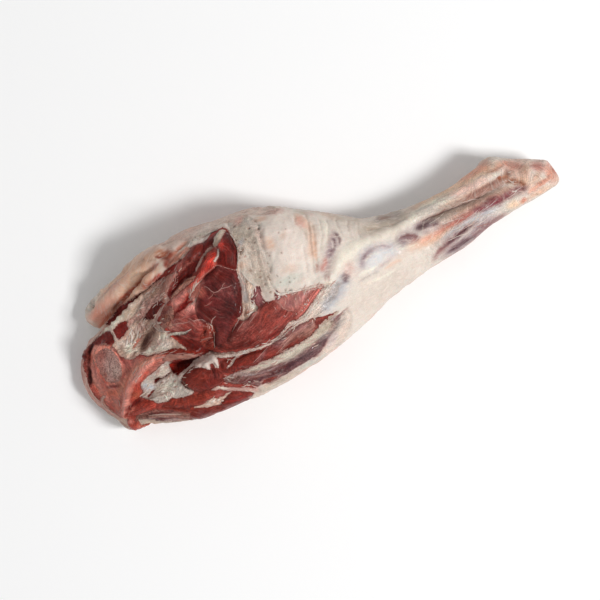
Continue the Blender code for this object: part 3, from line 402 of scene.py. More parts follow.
MEAT_STAINS = [
    # inside muscles
    (-90, 48.6, 8, 4.6, 45, "vermilion", 0.9), (-84, 53, 5, 3, 60, "scarlet", 0.7),
    (-108, 38, 15, 2.4, 24, "coral", 0.75), (-130, 29, 8, 3, 16, "old rose", 0.7),
    (-117, 31.5, 9, 2.2, 24, "red", 0.8), (-94, 43, 6, 3, 20, "blood", 0.6),
    (-107, 42.5, 8, 2.2, 35, "brown meat", 0.8), (-92, 2, 13, 12, -60, "clot", 0.85),
    (-96, 24, 9, 6, 10, "clot", 0.6), (-110, 1, 7, 6, 0, "deep red", 0.6),
    (-79, 16, 3.5, 15, -14, "clot", 0.8), (-88, 33, 12, 6, -30, "deep red", 0.7),
    (-104, 20, 9, 16, 10, "dark meat", 0.6), (-112, 8, 6, 14, 5, "deep red", 0.6),
    (-98, -14, 14, 6, -40, "dark meat", 0.7), (-110, 27, 8, 7, -30, "apricot", 0.6),
    # the clot stain at (-66, 56) is painted shade down the right edge of the upper right muscle, and the
    # vermilion one at (-73.5, 59) is a painted highlight on that muscle
    (-108, -20, 6, 8, 10, "rosy meat", 0.6), (-66, 56, 2.6, 12, -8, "clot", 0.85),
    (-73.5, 59, 3.5, 7, -10, "vermilion", 0.85), (-71, 41, 4, 7, 20, "deep red", 0.7),
    (-125, 58, 6, 2.6, 10, "blood", 0.6), (-129, 52, 6, 4, 40, "clay", 0.7),
    (-119, 57.4, 8, 2.6, 24, "old rose", 0.6), (-134, 44, 5, 3, 40, "clay", 0.5),
    (-114, 49, 12, 2, 14, "deep red", 0.7), (-81, 65, 8, 2.2, 40, "deep red", 0.7),
    (-77, 71.5, 7, 1.5, 22, "scarlet", 0.7), (-146, 7, 9, 4.6, -26, "skin pink", 0.6),
    (-145.4, 12.4, 4, 2.6, -20, "rose", 0.7), (-134, 13, 6, 3, -40, "old rose", 0.6),
    (-127, 7, 4, 9, -30, "dark meat", 0.7), (-136, -2, 8, 3, -25, "dark meat", 0.6),
    (-132, -9, 6, 3, -30, "clot", 0.6), (-152, -5, 2.6, 9, 25, "coral", 0.9),
    (-139, -16, 9, 4, -48, "deep red", 0.8), (-122, -21, 3.2, 4.2, 15, "deep red", 0.9),
    (-155, 6, 4, 5, 20, "vermilion", 0.8), (-148, 9, 5, 2.4, -15, "warm cream", 0.7),
    # lower middle
    (-68, -27, 16, 7, 10, "brick", 0.5), (-60, -19, 8, 8, 20, "meat", 0.7),
    (-92, -35, 16, 3.5, -6, "deep red", 0.8), (-62, -37, 12, 2.6, 6, "wine", 0.8),
    (-109, -31, 9, 3, -22, "brown meat", 0.7), (-82, -19, 7, 5, 30, "skin pink", 0.5),
    (-71, -13, 6, 4, 0, "rose", 0.6), (-29, -17, 18, 5, 6, "heather", 0.7),
    (-46, -16, 10, 3, 10, "old rose", 0.4), (-46, -27, 14, 4, 14, "brick", 0.6),
    (-20, -13, 12, 2.2, -5, "skin pink", 0.7), (-98, -50, 11, 4, 8, "meat", 0.7),
    (-72, -54, 9, 3, 10, "rosy meat", 0.7), (-106, -51, 8, 4, 12, "wine", 0.6),
    (-84, -57, 14, 1.8, 2, "wine", 0.7), (-85, -77, 4.5, 1.2, 0, "deep red", 0.9),
    # lower left
    (-145, -49, 11, 7, 20, "meat", 0.6), (-159, -50, 2.6, 8, 18, "sallow", 0.85),
    (-136, -55, 8, 4, 15, "wine", 0.6), (-129, -48, 2, 8, -12, "dark meat", 0.7),
    (-168, -68, 12, 2.4, -18, "deep red", 0.7), (-158, -79.5, 8, 3, -10, "dark meat", 0.8),
    (-120, -81, 12, 2.4, -10, "blood", 0.7), (-208, -38, 6, 4, 35, "tan", 0.6),
    (-196, -26.5, 9, 2.2, 28, "brick", 0.7), (-211, -53, 10, 3, 2, "rosy meat", 0.6),
    (-237, -36, 3.6, 9, 25, "red", 0.8), (-229, -36, 5, 8, 30, "old rose", 0.7),
    (-225, -46, 4, 6, 30, "old rose", 0.6), (-206, -14, 4, 3, 15, "brick", 0.6),
    (-220, -29, 7, 4, 20, "peach", 0.55), (-238, -20, 4, 9, -4, "clay", 0.7),
    (-244, -18, 1.6, 8, 0, "coral", 0.6), (-218, 24, 6, 2, 8, "rust", 0.6),
    (-160, -33, 5, 1.8, -6, "vermilion", 0.8), (-164, -28, 3, 3, 0, "red", 0.8),
    # flap and far edge
    # the black red stain at (-152, 51) is painted shade in the gap line under the flap's lip
    (-152, 51, 10, 1.6, 18, "black red", 0.9), (-140, 57, 6, 2.4, 20, "blood", 0.8),
    # lower edge of the thigh
    (-24, -18.6, 12, 3.6, -8, "rose", 0.4), (-70, -12.4, 6, 2.6, 24, "rose", 0.5),
    (-131, -4, 5, 4, -20, "wine", 0.7),
    # chump end and cavities, in finer steps
    (-160, -32, 5, 2.4, -4, "rust", 0.9), (-165, -28, 2.4, 3, 0, "scarlet", 0.6),
    # the black red stain at (-146, -30.5) is painted shade in the deep cleft
    (-146, -30.5, 14, 2, -8, "black red", 0.8), (-240, 4, 2.6, 10, 12, "old rose", 0.8),
    (-236, 12, 4, 5, 40, "coral", 0.5), (-234, -6, 6, 18, 0, "brick", 0.45),
    (-232, -12, 2.4, 9, -4, "red", 0.6), (-226, -22, 8, 2, -16, "dark meat", 0.9),
    (-213, -17, 6, 2, 40, "brick", 0.7), (-207, 0, 1.8, 7, 10, "dark meat", 0.8),
    (-208.6, 9, 2.2, 6, 24, "rosy meat", 0.8), (-237, -31, 3, 5, 10, "rose", 0.6),
    (-233, -47, 3, 6, 30, "heather", 0.6), (-218, -66, 3, 4, 0, "apricot", 0.8),
    (-224, -59, 4, 2, 0, "rose", 0.7), (-200, -50, 6, 3, 0, "rust", 0.5),
    (-218, -49.6, 6, 1.6, 20, "salmon", 0.6),
]

# Long streaks of colour, on the fat and on the muscle: (half width, colour, strength, places along it)
FAT_STREAKS = [
    # shank, from the far edge to the near one
    (6, "sand", 0.8, (100, 15), (124, 17), (150, 20), (176, 24), (196, 27)),
    (4.5, "salmon", 0.8, (146, 20), (162, 21.5), (180, 24), (197, 27)),
    (3, "warm cream", 0.7, (112, 16.6), (132, 17.4), (152, 18.6), (168, 21)),
    (3.6, "white", 0.9, (92, 7), (108, 9.6), (126, 11.6), (150, 12.4), (176, 13), (198, 16)),
    (1.4, "ash", 0.6, (110, 11.6), (118, 12), (128, 10.6), (138, 7.6)),
    (2, "peach", 0.5, (132, 7.4), (146, 8.2), (162, 9), (180, 10.4), (194, 12)),
    (2.8, "clay", 0.8, (136, 3.8), (156, 4.6), (176, 6.8), (192, 8), (204, 7)),
    (2.4, "cream white", 0.8, (136, 12.2), (152, 12), (168, 12.6), (182, 13), (194, 14.4)),
    (3.4, "warm grey", 0.8, (108, 3.6), (128, 3.6), (150, 3.8), (176, 4.4), (198, 4)),
    (1.4, "slate", 0.7, (100, 3.2), (114, 2.6), (126, 2.2), (140, 1.8), (156, 1.2), (176, 0.6)),
    (3.6, "warm grey", 0.8, (112, -1.6), (132, -1.4), (156, -1.6), (180, -1), (202, 0)),
    (3, "sand", 0.8, (128, -6), (150, -6.4), (176, -5), (200, -3.4), (210, -3)),
    (1.6, "cream", 0.6, (104, -1), (112, -5.6), (122, -8.4), (136, -8.8), (158, -7.4), (178, -6.4)),
    (4.2, "old rose", 0.85, (110, -14.4), (124, -13), (140, -12), (156, -10.6), (168, -9.8)),
    (2.6, "brick", 0.7, (122, -12), (136, -11.4), (150, -10.4), (164, -9.4)),
    (4, "plum", 0.95, (160, -9.6), (170, -9), (182, -8.4), (194, -8)),
    (3.4, "heather", 0.9, (188, -8), (196, -7.6), (205, -7), (213, -7.2), (220, -8)),
    (4.6, "peach", 0.8, (92, -17.6), (106, -17.6), (120, -17), (134, -15.8), (146, -14.4)),
    (4.6, "bluish white", 0.85, (118, -23), (134, -20), (152, -16.6), (170, -14.6), (190, -14)),
    (2, "blue film", 0.6, (150, -18), (164, -16), (178, -14.4)),
    (2.8, "heather", 0.85, (106, -35), (114, -31), (124, -27.4), (136, -24.4), (148, -21.6), (160, -19.8)),
    (1.6, "dark plum", 0.8, (122, -28), (132, -25.6), (144, -22.4), (156, -20.4)),
    (2.2, "pearl", 0.7, (120, -31), (134, -28.4), (150, -25), (166, -21.8), (184, -19)),
    (5, "mauve", 0.9, (114, -36), (130, -33.6), (146, -30.4), (164, -26.4), (182, -23)),
    (2.6, "heather", 0.6, (148, -29.4), (160, -27.6), (172, -25.4), (184, -23), (194, -21)),
    (2, "dark plum", 0.75, (122, -33.6), (132, -32), (144, -30.6), (154, -29.6)),
    (2.6, "apricot", 0.6, (184, 20.6), (194, 18.8), (205, 19.8), (216, 17)),
    (2.6, "tan", 0.75, (199, 4), (207, 3.4), (212, 0.4), (216, -3.4), (219, -6)),
    (1.8, "coral", 0.7, (248, 8), (250.6, 2), (250.6, -5), (249, -12)),
    (2.8, "peach", 0.7, (212, 2.6), (218, 0), (223, -4)),
    (3.6, "warm cream", 0.8, (138, 16.5), (156, 17.4), (172, 19), (188, 20.6), (204, 21)),
    (2, "salmon", 0.6, (164, 19.6), (180, 21.6), (196, 23.6)),
    (2.6, "white", 0.5, (110, 12), (124, 12.6), (140, 12.8)),
    (3, "blush", 0.45, (142, 12), (160, 12.6), (176, 13.6), (192, 14.4)),
    (4.2, "clay", 0.55, (156, 4.4), (172, 4.8), (188, 4.8), (206, 4)),
    (2, "taupe", 0.5, (180, 7.6), (192, 8), (206, 7.6)),
    (2.6, "plum", 0.4, (184, -8.4), (194, -8), (206, -7.4)),
    (3, "pearl", 0.6, (90, 1), (102, 0.6), (114, 1.6)),
    (2.4, "ash", 0.5, (106, 9.6), (118, 10.4), (130, 9)),
    (2.2, "tan", 0.7, (195, 10.6), (201, 9.8), (207, 8)),
    # band over the stifle and along the near side
    (5, "white", 0.55, (-26, -34), (-8, -24), (8, -10), (24, 0), (42, 5), (64, 5), (86, 5), (104, 6)),
    (6.4, "blue film", 0.95, (-14, -39), (-2, -33), (8, -27), (18, -19), (24, -14)),
    (2.4, "ash", 0.6, (-6, -34), (4, -28), (13, -21), (20, -17)),
    (4, "slate", 0.75, (17, -20), (21, -16.8), (25, -14)),
    (5.4, "dusty pink", 0.7, (22, -14), (27, -10.4), (32, -5.6)),
    (5, "blue film", 0.6, (38, -13), (44, -7.6), (53, -4), (62, -4.6), (70, -7)),
    (2.6, "mauve", 0.6, (39, -14), (43, -9), (49, -5), (58, -3.6)),
    (6, "bluish white", 0.6, (44, -18), (54, -15), (64, -12)),
    (5.4, "blue film", 0.6, (62, -6), (70, -7), (78, -8)), (7.4, "ash", 0.8, (78, -8), (88, -9), (97, -10)),
    (5.6, "mauve", 0.8, (80, -6), (88, -6.6), (96, -9), (104, -12)),
    (3.6, "heather", 0.45, (88, -8), (95, -9), (102, -12)),
    (5.8, "mauve", 0.85, (100, -1.6), (109, -3.4), (118, -5), (126, -5.4)),
    (2.6, "slate", 0.75, (103, -3), (109, -4.4), (115, -6)),
    (1.4, "dark plum", 0.7, (118, -6), (122, -6), (126, -5.6)),
    (5, "cream", 0.6, (60, -24), (72, -21), (84, -18), (96, -17)),
    (2, "pearl", 0.6, (46, -21), (58, -20), (68, -17.4), (78, -16.6)),
    (12, "soft cream", 0.6, (10, -52), (36, -44), (64, -38), (90, -34)),
    (7, "soft cream", 0.75, (50, 14), (62, 12), (76, 12), (92, 12), (108, 12)),
    (6, "straw", 0.85, (50, 20), (62, 15), (76, 14), (92, 14), (108, 14)),
    (4.4, "ash", 0.75, (68, 20), (78, 18.6), (90, 17), (100, 15.6)),
    (2.4, "taupe", 0.55, (72, 21), (79, 18.6), (88, 17.6)),
    (5, "straw", 0.6, (30, 46), (40, 38), (50, 30), (60, 24)),
    (6, "bluish white", 0.7, (34, -12), (44, -10), (56, -9), (70, -11), (84, -13)),
    (4, "pearl", 0.7, (36, -14), (43, -8), (52, -4), (64, -4), (76, -8)),
    (0.9, "slate", 0.5, (41, -12), (44, -8), (48, -5.6)),
    (3.6, "mauve", 0.5, (38, -15), (42, -10), (48, -6.6), (56, -5.6)),
    (4.4, "peach", 0.6, (84, -15), (98, -15.6), (112, -14.6), (126, -12.6)),
    (2.6, "salmon", 0.5, (100, -15), (114, -13.6), (128, -11.6)),
    (0.9, "white", 0.6, (44, -12), (48, -9), (54, -8), (62, -9)),
    (0.9, "mauve", 0.5, (62, -3.4), (68, -5), (74, -8)),
    (0.9, "heather", 0.7, (82, -4), (90, -4.6), (98, -7), (104, -11)),
    (0.9, "white", 0.6, (76, -12), (84, -14), (92, -15), (101, -16)),
    (0.9, "slate", 0.6, (101, -2), (108, -2.4), (116, -3.6), (124, -4)),
    (0.9, "cream white", 0.7, (100, -5), (108, -6.6), (117, -8), (126, -8)),
    (1, "ash", 0.5, (30, -26), (42, -24), (56, -24)), (1, "white", 0.6, (36, -30), (52, -30), (70, -29)),
    (1.2, "peach", 0.5, (58, -24), (68, -22.6), (78, -23)),
    (1.2, "white", 0.6, (34, -20), (44, -19), (56, -20)),
    # stifle
    (5.6, "mauve", 0.5, (2, -12), (7, -4), (13, 4), (18, 12), (24, 20), (29, 27)),
    (3.2, "mauve", 0.6, (12, 5), (18, 12), (24, 19), (28, 25)),
    (4, "peach", 0.5, (4, 56), (8, 44), (9, 32), (4, 20), (-2, 12)),
    (5, "cream", 0.5, (-52, 58), (-50, 44), (-48, 28), (-47, 12)),
    (1, "slate", 0.6, (19, 9), (22.6, 13), (24.6, 18), (25, 23)),
    (0.9, "slate", 0.5, (14, 5), (17.6, 9.6), (19.6, 14)),
    (0.9, "cream white", 0.7, (20, 13), (22.4, 17), (23, 21)),
    (0.9, "cream white", 0.6, (25, 14), (27.6, 18), (27.6, 22)),
    (0.9, "heather", 0.6, (2, -14), (5.6, -8), (9, -2)),
    (0.9, "heather", 0.6, (5, -14), (9, -7), (12.6, 0)),
    (1.3, "slate", 0.7, (26.6, 13), (29.6, 17), (30, 22), (27.6, 27)),
    (3, "old rose", 0.7, (2.6, -3), (7, 2), (12, 8)),
    (3.6, "ivory", 0.7, (3, 58), (7, 46), (6, 34), (2, 20), (-2, 8)),
    (2.2, "peach", 0.75, (9, 32), (7.4, 24), (4.6, 16), (1.6, 8)),
    (1.2, "clay", 0.6, (1.6, 6), (0.4, 2), (-1, -2)), (4, "rose", 0.6, (4, 55), (3, 48), (6, 41)),
    (2.4, "dusty pink", 0.5, (11, 57), (14, 52), (18, 48)),
    (3, "soft cream", 0.6, (4, -10), (12, -4), (22, 4)),
    (4, "white", 0.5, (24, 44), (23, 34), (19, 26), (14, 16)),
    # cavities and the lip of the flap
    (2.4, "cream white", 0.6, (-204, 15), (-197, 11), (-189, 10.6)),
    (2.2, "white", 0.6, (-201, 3), (-194, 1), (-187, -0.6)),
    (2.2, "cream white", 0.6, (-187, 15), (-179, 19), (-170, 23)),
    (2.6, "white", 0.6, (-186, -5), (-176, -5.6), (-165, -9), (-155, -14)),
    (2.4, "cream white", 0.5, (-166, 2), (-160, -3), (-154, -10)),
    (3.8, "taupe", 0.85, (-190, -3), (-184, 2), (-177, 6.6), (-170, 10.4), (-163, 13)),
    (2.4, "clot", 0.4, (-184, 1), (-177, 6), (-170, 10)),
    (2, "clay", 0.6, (-184, -3.6), (-177, 0), (-170, 3.6)),
    (1.6, "cream white", 0.8, (-188, -40), (-178, -36.8), (-168, -35.6)),
    (1, "taupe", 0.6, (-204, -45), (-199, -46.4), (-192, -47.4)),
    (2.4, "peach", 0.85, (-186, 48), (-172, 50.8), (-160, 54.4), (-150, 58.6), (-142, 62), (-135, 63)),
    # these four streaks are partly painted shade in the flap's crease, along the gap line under its lip and
    # in the gap under the flap, over the fold's own brown and red
    (2.4, "tan", 0.85, (-202, 41.6), (-190, 46.4), (-180, 50.4), (-170, 54.2), (-160, 58), (-148, 62.4)),
    (1.4, "brick", 0.7, (-196, 44), (-186, 47.6), (-176, 51.4), (-166, 55)),
    (1.8, "rust", 0.7, (-160, 52.4), (-149, 55), (-139, 59)),
    (2.2, "tan", 0.6, (-216, 37), (-206, 40), (-196, 44), (-188, 47)),
    (1.2, "clay", 0.6, (-178, 13), (-171, 18.6), (-164, 23)),
    # muscle bands and flap
    (5, "slate", 0.9, (-128, -58), (-112, -64), (-92, -69), (-72, -71.4), (-52, -70.6), (-34, -68),
     (-12, -60)),
    (5, "dark meat", 0.9, (-132, -57), (-118, -63), (-104, -68), (-90, -70.6), (-72, -71.4), (-56, -71.6)),
    (2.6, "dark plum", 0.6, (-108, -69), (-92, -73), (-76, -73.6), (-58, -72), (-44, -70)),
    (2.2, "taupe", 0.7, (-126, -57.6), (-114, -60.6), (-102, -62), (-90, -64)),
    (1.2, "dusty pink", 0.6, (-118, -62), (-104, -66.4), (-90, -70), (-76, -71.4)),
    (1, "pearl", 0.7, (-112, -60.6), (-98, -65), (-84, -67.4), (-68, -68)),
    (1, "beige", 0.6, (-104, -72), (-92, -76), (-80, -77.6), (-66, -76.6)),
    (3.6, "white", 0.4, (-108, -58), (-94, -60.4), (-80, -61.6), (-66, -61.4), (-52, -59), (-36, -56.4),
     (-18, -51)),
    (1.2, "pearl", 0.5, (-118, -57), (-108, -60), (-98, -62)),
    (1, "dusty pink", 0.9, (-206, 59), (-196, 63.5), (-184, 68), (-172, 72), (-160, 75.5)),
    (1.1, "coral", 0.8, (-194.5, 2), (-190, 5.5), (-185, 8), (-180, 10)),
]
MEAT_STREAKS = [
    # ridge of the hip and the chump
    (4.2, "peach", 0.6, (-226, -35), (-217, -26.6), (-206, -20.4), (-195, -16.6), (-185, -14.6),
     (-172, -14)),
    # the rose streak along the crest is partly a painted highlight where light catches the crest, over the
    # ridge's own pink
    (1.7, "rose", 0.85, (-232, -57), (-226, -48.5), (-220, -40.5), (-213, -32.5), (-206, -27), (-198, -23),
     (-190, -19), (-170, -13.5)),
    (1.4, "coral", 0.5, (-214, -37), (-207, -30.6), (-199, -26.4), (-190, -22), (-181, -18.4), (-168, -15)),
    (1.2, "red", 0.5, (-200, -29), (-192, -24.8), (-184, -22), (-176, -19)),
    (1.8, "brick", 0.5, (-230, -46), (-224, -36), (-217, -27)),
    (1.6, "coral", 0.5, (-217, -30), (-210, -22), (-203, -17)),
    (1.6, "red", 0.6, (-240, -33), (-238, -40), (-234, -48)),
    (1.8, "clay", 0.6, (-232, -28), (-230, -38), (-229, -47)),
    (2.4, "rose", 0.6, (-240, 6), (-239, -6), (-238, -18)),
    # far muscles
    (2.4, "old rose", 0.5, (-136, 27), (-126, 30), (-116, 34), (-106, 37.4)),
    (1.6, "vermilion", 0.5, (-118, 34), (-108, 38), (-99, 43), (-94, 46)),
    (1.3, "warm grey", 0.7, (-128, 39.4), (-121, 41.6), (-113, 43)),
    (1.5, "dusty pink", 0.8, (-92, 58), (-86, 61), (-78, 62.4), (-72, 64.6), (-68, 66.6)),
    (1.1, "soft cream", 0.8, (-88.6, 45), (-84, 48), (-80.6, 51.4), (-78.4, 55.6), (-80, 60)),
    (1, "clay", 0.7, (-123, 50), (-115, 53.4), (-106, 56.6), (-98, 58.4)),
    # webs over the muscles
    (0.9, "old rose", 0.35, (-96, 30), (-92.6, 31.6), (-89.4, 33.4), (-85, 36.6)),
    (0.8, "old rose", 0.3, (-84, 12), (-80, 9.6), (-77.6, 6)),
    (0.8, "old rose", 0.3, (-108, 2), (-103, 3.6), (-98, 2.6), (-94, 5)),
    # muscle bands and flap
    (3.6, "mauve", 0.6, (-74, -50), (-58, -47), (-42, -44.4), (-22, -43)),
    (0.9, "beige", 0.7, (-76, -49), (-62, -44), (-50, -41), (-38, -38)),
    (0.9, "dusty pink", 0.7, (-66, -53), (-52, -48), (-38, -44.6), (-24, -41)),
    (1.4, "warm grey", 0.75, (-206, -61.5), (-196, -65), (-186, -69), (-176, -73.5)),
    (1.2, "dark meat", 0.7, (-210, -58.6), (-200, -61), (-190, -65), (-180, -70)),
    (1.2, "sage white", 0.7, (-196, -71.5), (-186, -75), (-176, -78.5)),
    (1.8, "heather", 0.8, (-91, -56), (-84, -53), (-77, -50), (-71, -47)),
    (1.4, "taupe", 0.8, (-69, -57), (-60, -53.5), (-52, -49.5), (-44, -47)),
    (1.2, "taupe", 0.7, (-58, -50), (-48, -47.5), (-36, -46), (-26, -45)),
    (1.4, "brick", 0.7, (-100, -19), (-94, -15), (-88, -12)),
]

# Creases and clefts, darkened with painted shade: (depth, half width, how dark the painted shade is from 0
# to 1, places along it)
CREASES = [
    (1.2, 1.8, 0.35, (106, 2.8), (124, 2.2), (145, 1.6), (165, 1), (182, 0.6)),
    (1.2, 1.8, 0.3, (118, -8.4), (140, -8.2), (164, -6.8), (190, -4.4)),
    (1, 1.8, 0.2, (120, -17), (145, -13.2), (170, -12.2), (198, -12)),
    (1, 1.8, 0.15, (110, -31), (128, -26), (148, -21.4), (166, -19)),
    (1.3, 1.8, 0.2, (112, 9.4), (134, 7.4), (160, 6.8), (184, 9.2), (200, 11.4)),
    (1.4, 2, 0.5, (200, 4), (208, 2.2), (214, -2), (217, -6)),
    (1.4, 1.6, 0.4, (213, -6), (214, -11), (218, -15)), (1, 1.6, 0.4, (188, 18.6), (197, 18.2), (206, 19)),
    (1, 1.6, 0.3, (226, 10), (236, 6), (243, 2)), (0.9, 1.6, 0.3, (222, -7), (234, -8.6), (244, -6)),
    # wrinkles over the stifle
    (1.4, 1.8, 0.15, (9.5, 54), (10.4, 47), (8.6, 39), (5.6, 31), (3.4, 24), (0.4, 14), (-2, 4), (-5, -3)),
    (1.1, 1.6, 0.15, (13, 44), (11.6, 36), (8.4, 27), (4.4, 16), (1.6, 6), (0, 0)),
    (0.9, 1.6, 0.1, (1, 58), (-1, 50), (0.6, 44), (2.4, 37), (1, 29)),
    (0.8, 1.5, 0.1, (20, 46), (19.6, 38), (17, 30), (13, 22), (9, 14)),
    (0.8, 1.5, 0.1, (27, 42), (26, 34), (22.6, 27), (18, 19)),
    (0.7, 1.4, 0.1, (-3, 28), (-6, 19), (-8, 9), (-10, 1)), (0.7, 1.6, 0.1, (36, 38), (34, 28), (34, 18)),
    (0.6, 1.6, 0.1, (46, 32), (42, 22), (41, 14)), (0.6, 1.6, 0.1, (54, 26), (50, 18), (50, 10)),
    (1.3, 3.2, 0.1, (-31, 66), (-33, 58), (-36, 49), (-37.6, 40), (-37, 31), (-40, 22), (-43.5, 14)),
    (0.8, 1.6, 0.1, (58, 16), (70, 12), (86, 10), (100, 11)), (0.7, 1.5, 0.1, (40, -7), (52, -3), (64, -1)),
    (0.8, 1.6, 0.2, (84, -3), (94, -5), (102, -11)), (0.7, 1.6, 0.1, (46, -22), (58, -20), (72, -18)),
    # flap
    (3, 2.8, 0.25, (-200, 43), (-190, 47.6), (-180, 51.4), (-170, 55.4), (-160, 59.4), (-150, 63.6),
     (-138, 66.6)),
    (0.8, 1.6, 0.12, (-208, 57.5), (-203, 61.5), (-193, 65), (-177, 70.5), (-160, 76), (-155, 79)),
    (1.6, 1.6, 0.45, (-178, 47), (-168, 48), (-158, 50.4), (-149, 53.4)),
    (1.2, 1.8, 0.3, (-138, 76), (-132, 73), (-127, 68), (-124, 62)),
    (1.2, 1.8, 0.25, (-121, 77), (-116, 72), (-107, 73), (-100, 75.5)),
    (0.9, 1.6, 0.2, (-168, 66), (-160, 67.5), (-152, 66)),
    (0.8, 1.6, 0.2, (-150, 78), (-144, 74), (-136, 72)),
    (2.6, 4.2, 0.2, (-187, -1), (-180, 4.6), (-173, 9), (-166, 12)),
    # crest of the hip's ridge, which stands up instead
    (-1.8, 3.2, 0, (-230, -54), (-223, -44), (-214, -33.6), (-205, -26.4), (-196, -22), (-186, -17.4),
     (-174, -13.6)),
    # between the muscles
    (1.4, 1.3, 0.75, (-62, 66), (-61.4, 58), (-61.8, 50), (-64, 43), (-67, 37)),
    (1, 1.2, 0.6, (-72, 24), (-73.4, 17), (-76, 9), (-79.5, 1), (-83, -6)),
    (1.2, 1.2, 0.6, (-162, -45), (-158.6, -53), (-153, -58.6), (-145, -61.6), (-135, -62.6)),
    (1, 1.2, 0.7, (-131.5, -40), (-130, -46), (-131, -53)),
    (1, 1.2, 0.6, (-127, -39), (-125, -46), (-127, -54)),
    (1.6, 1.4, 0.8, (-128, -28), (-121, -33), (-112, -37), (-103, -39.5)),
    (0.9, 1.2, 0.5, (-106, -48), (-96, -46), (-84, -47.6), (-72, -48.4)),
    (1.2, 1.4, 0.6, (-139, 35), (-133, 38.6), (-126, 42.4), (-116, 44.6), (-108, 46)),
    (1, 1.3, 0.6, (-109, 57.5), (-101, 58.4), (-94, 60.6)),
    (1, 1.3, 0.5, (-120, 63), (-110, 65), (-102, 69.6)),
    (1, 1.2, 0.6, (-96, 53), (-91, 58), (-85, 60.4), (-77, 62.6)),
    (0.9, 1.2, 0.6, (-110, 34.6), (-100, 37), (-92, 39.6), (-86, 42.6)),
    (1.4, 1.3, 0.9, (-115.2, -12.4), (-116.4, -16.4), (-120, -18.4), (-123.4, -17.8)),
    (1.4, 1.2, 0.9, (-124.6, -14), (-123, -10.4), (-120, -8)),
    (0.8, 1, 0.9, (-121, 41), (-116, 41.6), (-111, 41)),
    (1, 1.2, 0.7, (-118, -18), (-117.6, -24), (-121, -27.6)), (1, 1.2, 0.7, (-126, -18), (-127, -24)),
    (1.2, 1.3, 0.6, (-205.4, 26), (-205.6, 21)),
    (1.2, 1.4, 0.6, (-214, 15), (-210.6, 11), (-208, 6), (-207, 0)),
    (1, 1.2, 0.5, (-158, 5), (-163, 9), (-167, 15), (-163, 19)), (0.9, 1.2, 0.5, (-188, 17), (-184, 21)),
    (1, 1.3, 0.5, (-182, 24), (-176, 26), (-169, 25.6)),
    (0.8, 1.2, 0.4, (-184, 33), (-174, 38), (-166, 40)),
    (1, 1.2, 0.5, (-202, -45), (-196, -46.6), (-190, -48)), (0.8, 1.2, 0.4, (-194, -52), (-188, -53)),
    (0.9, 1.2, 0.5, (-122, -61), (-112, -64), (-102, -67), (-92, -68)),
    (0.9, 1.3, 0.5, (-219, -58.6), (-208, -60), (-198, -62), (-188, -67)),
    (0.8, 1.2, 0.4, (-158, -38.4), (-153, -36.8), (-149, -36)),
    (0.6, 1.2, 0.3, (-236, 11.4), (-231, 13), (-226, 15)),
    (0.7, 1.1, 0.4, (-174, 18), (-170, 21), (-165, 24)),
]

# Small pits in the fat with dark crumbs in them, darkened with painted shade: (x, y, radius)
PITS = [
    (-59, 47, 2.6), (-62, 50, 1.5), (-60.5, 43.5, 1.2), (-63, 41, 1.4), (-43, 62.5, 1.6), (-35, 59, 1.4),
    (-58.6, 25.5, 1.7), (-58.2, 22.5, 1.2), (-67, 22, 1.2), (-66, 18, 1), (-64, 14.5, 0.9),
    (-53, 16.5, 1.4), (-49.6, 22, 1), (-45.3, 13, 1.5), (-45, 10, 1.2), (-50.4, 8, 1.6), (-49.6, -1, 1.3),
    (-37, 11.4, 1), (-36.6, 4.6, 0.9), (-28.4, 1, 1.1), (-27.6, 4.4, 0.9), (-31.4, -7, 1.5), (-35, -5, 0.9),
    (-56, 70.2, 1.3), (-60, 57.6, 1.3), (-61, 54, 1), (-43.6, 48, 1), (-40.6, 25, 1), (-36, 31, 1),
    (-37, 34.6, 0.8), (-23, 2, 0.8), (-19.4, 46, 1.1), (-13, 46, 0.9), (-25, 28.6, 0.8), (-50, 54, 0.8),
    (-47, 40, 0.7), (-58, 7.5, 1.2), (-63, -6.5, 1.4), (-46, -3.5, 1.2), (-22, -9.6, 1.1),
    (-12, -11.6, 1.1), (-8, -50, 1.2), (-97, 74.6, 1.2), (-92.4, 73.4, 1), (-88.6, 75.2, 1.3),
    (-84.6, 73.8, 1.1), (-93.6, 76.6, 0.9), (-181, 15.4, 1.2), (-173, 14.6, 1), (-193, -0.4, 1),
    (-187, 20, 1), (-183, 25.6, 0.8),
]

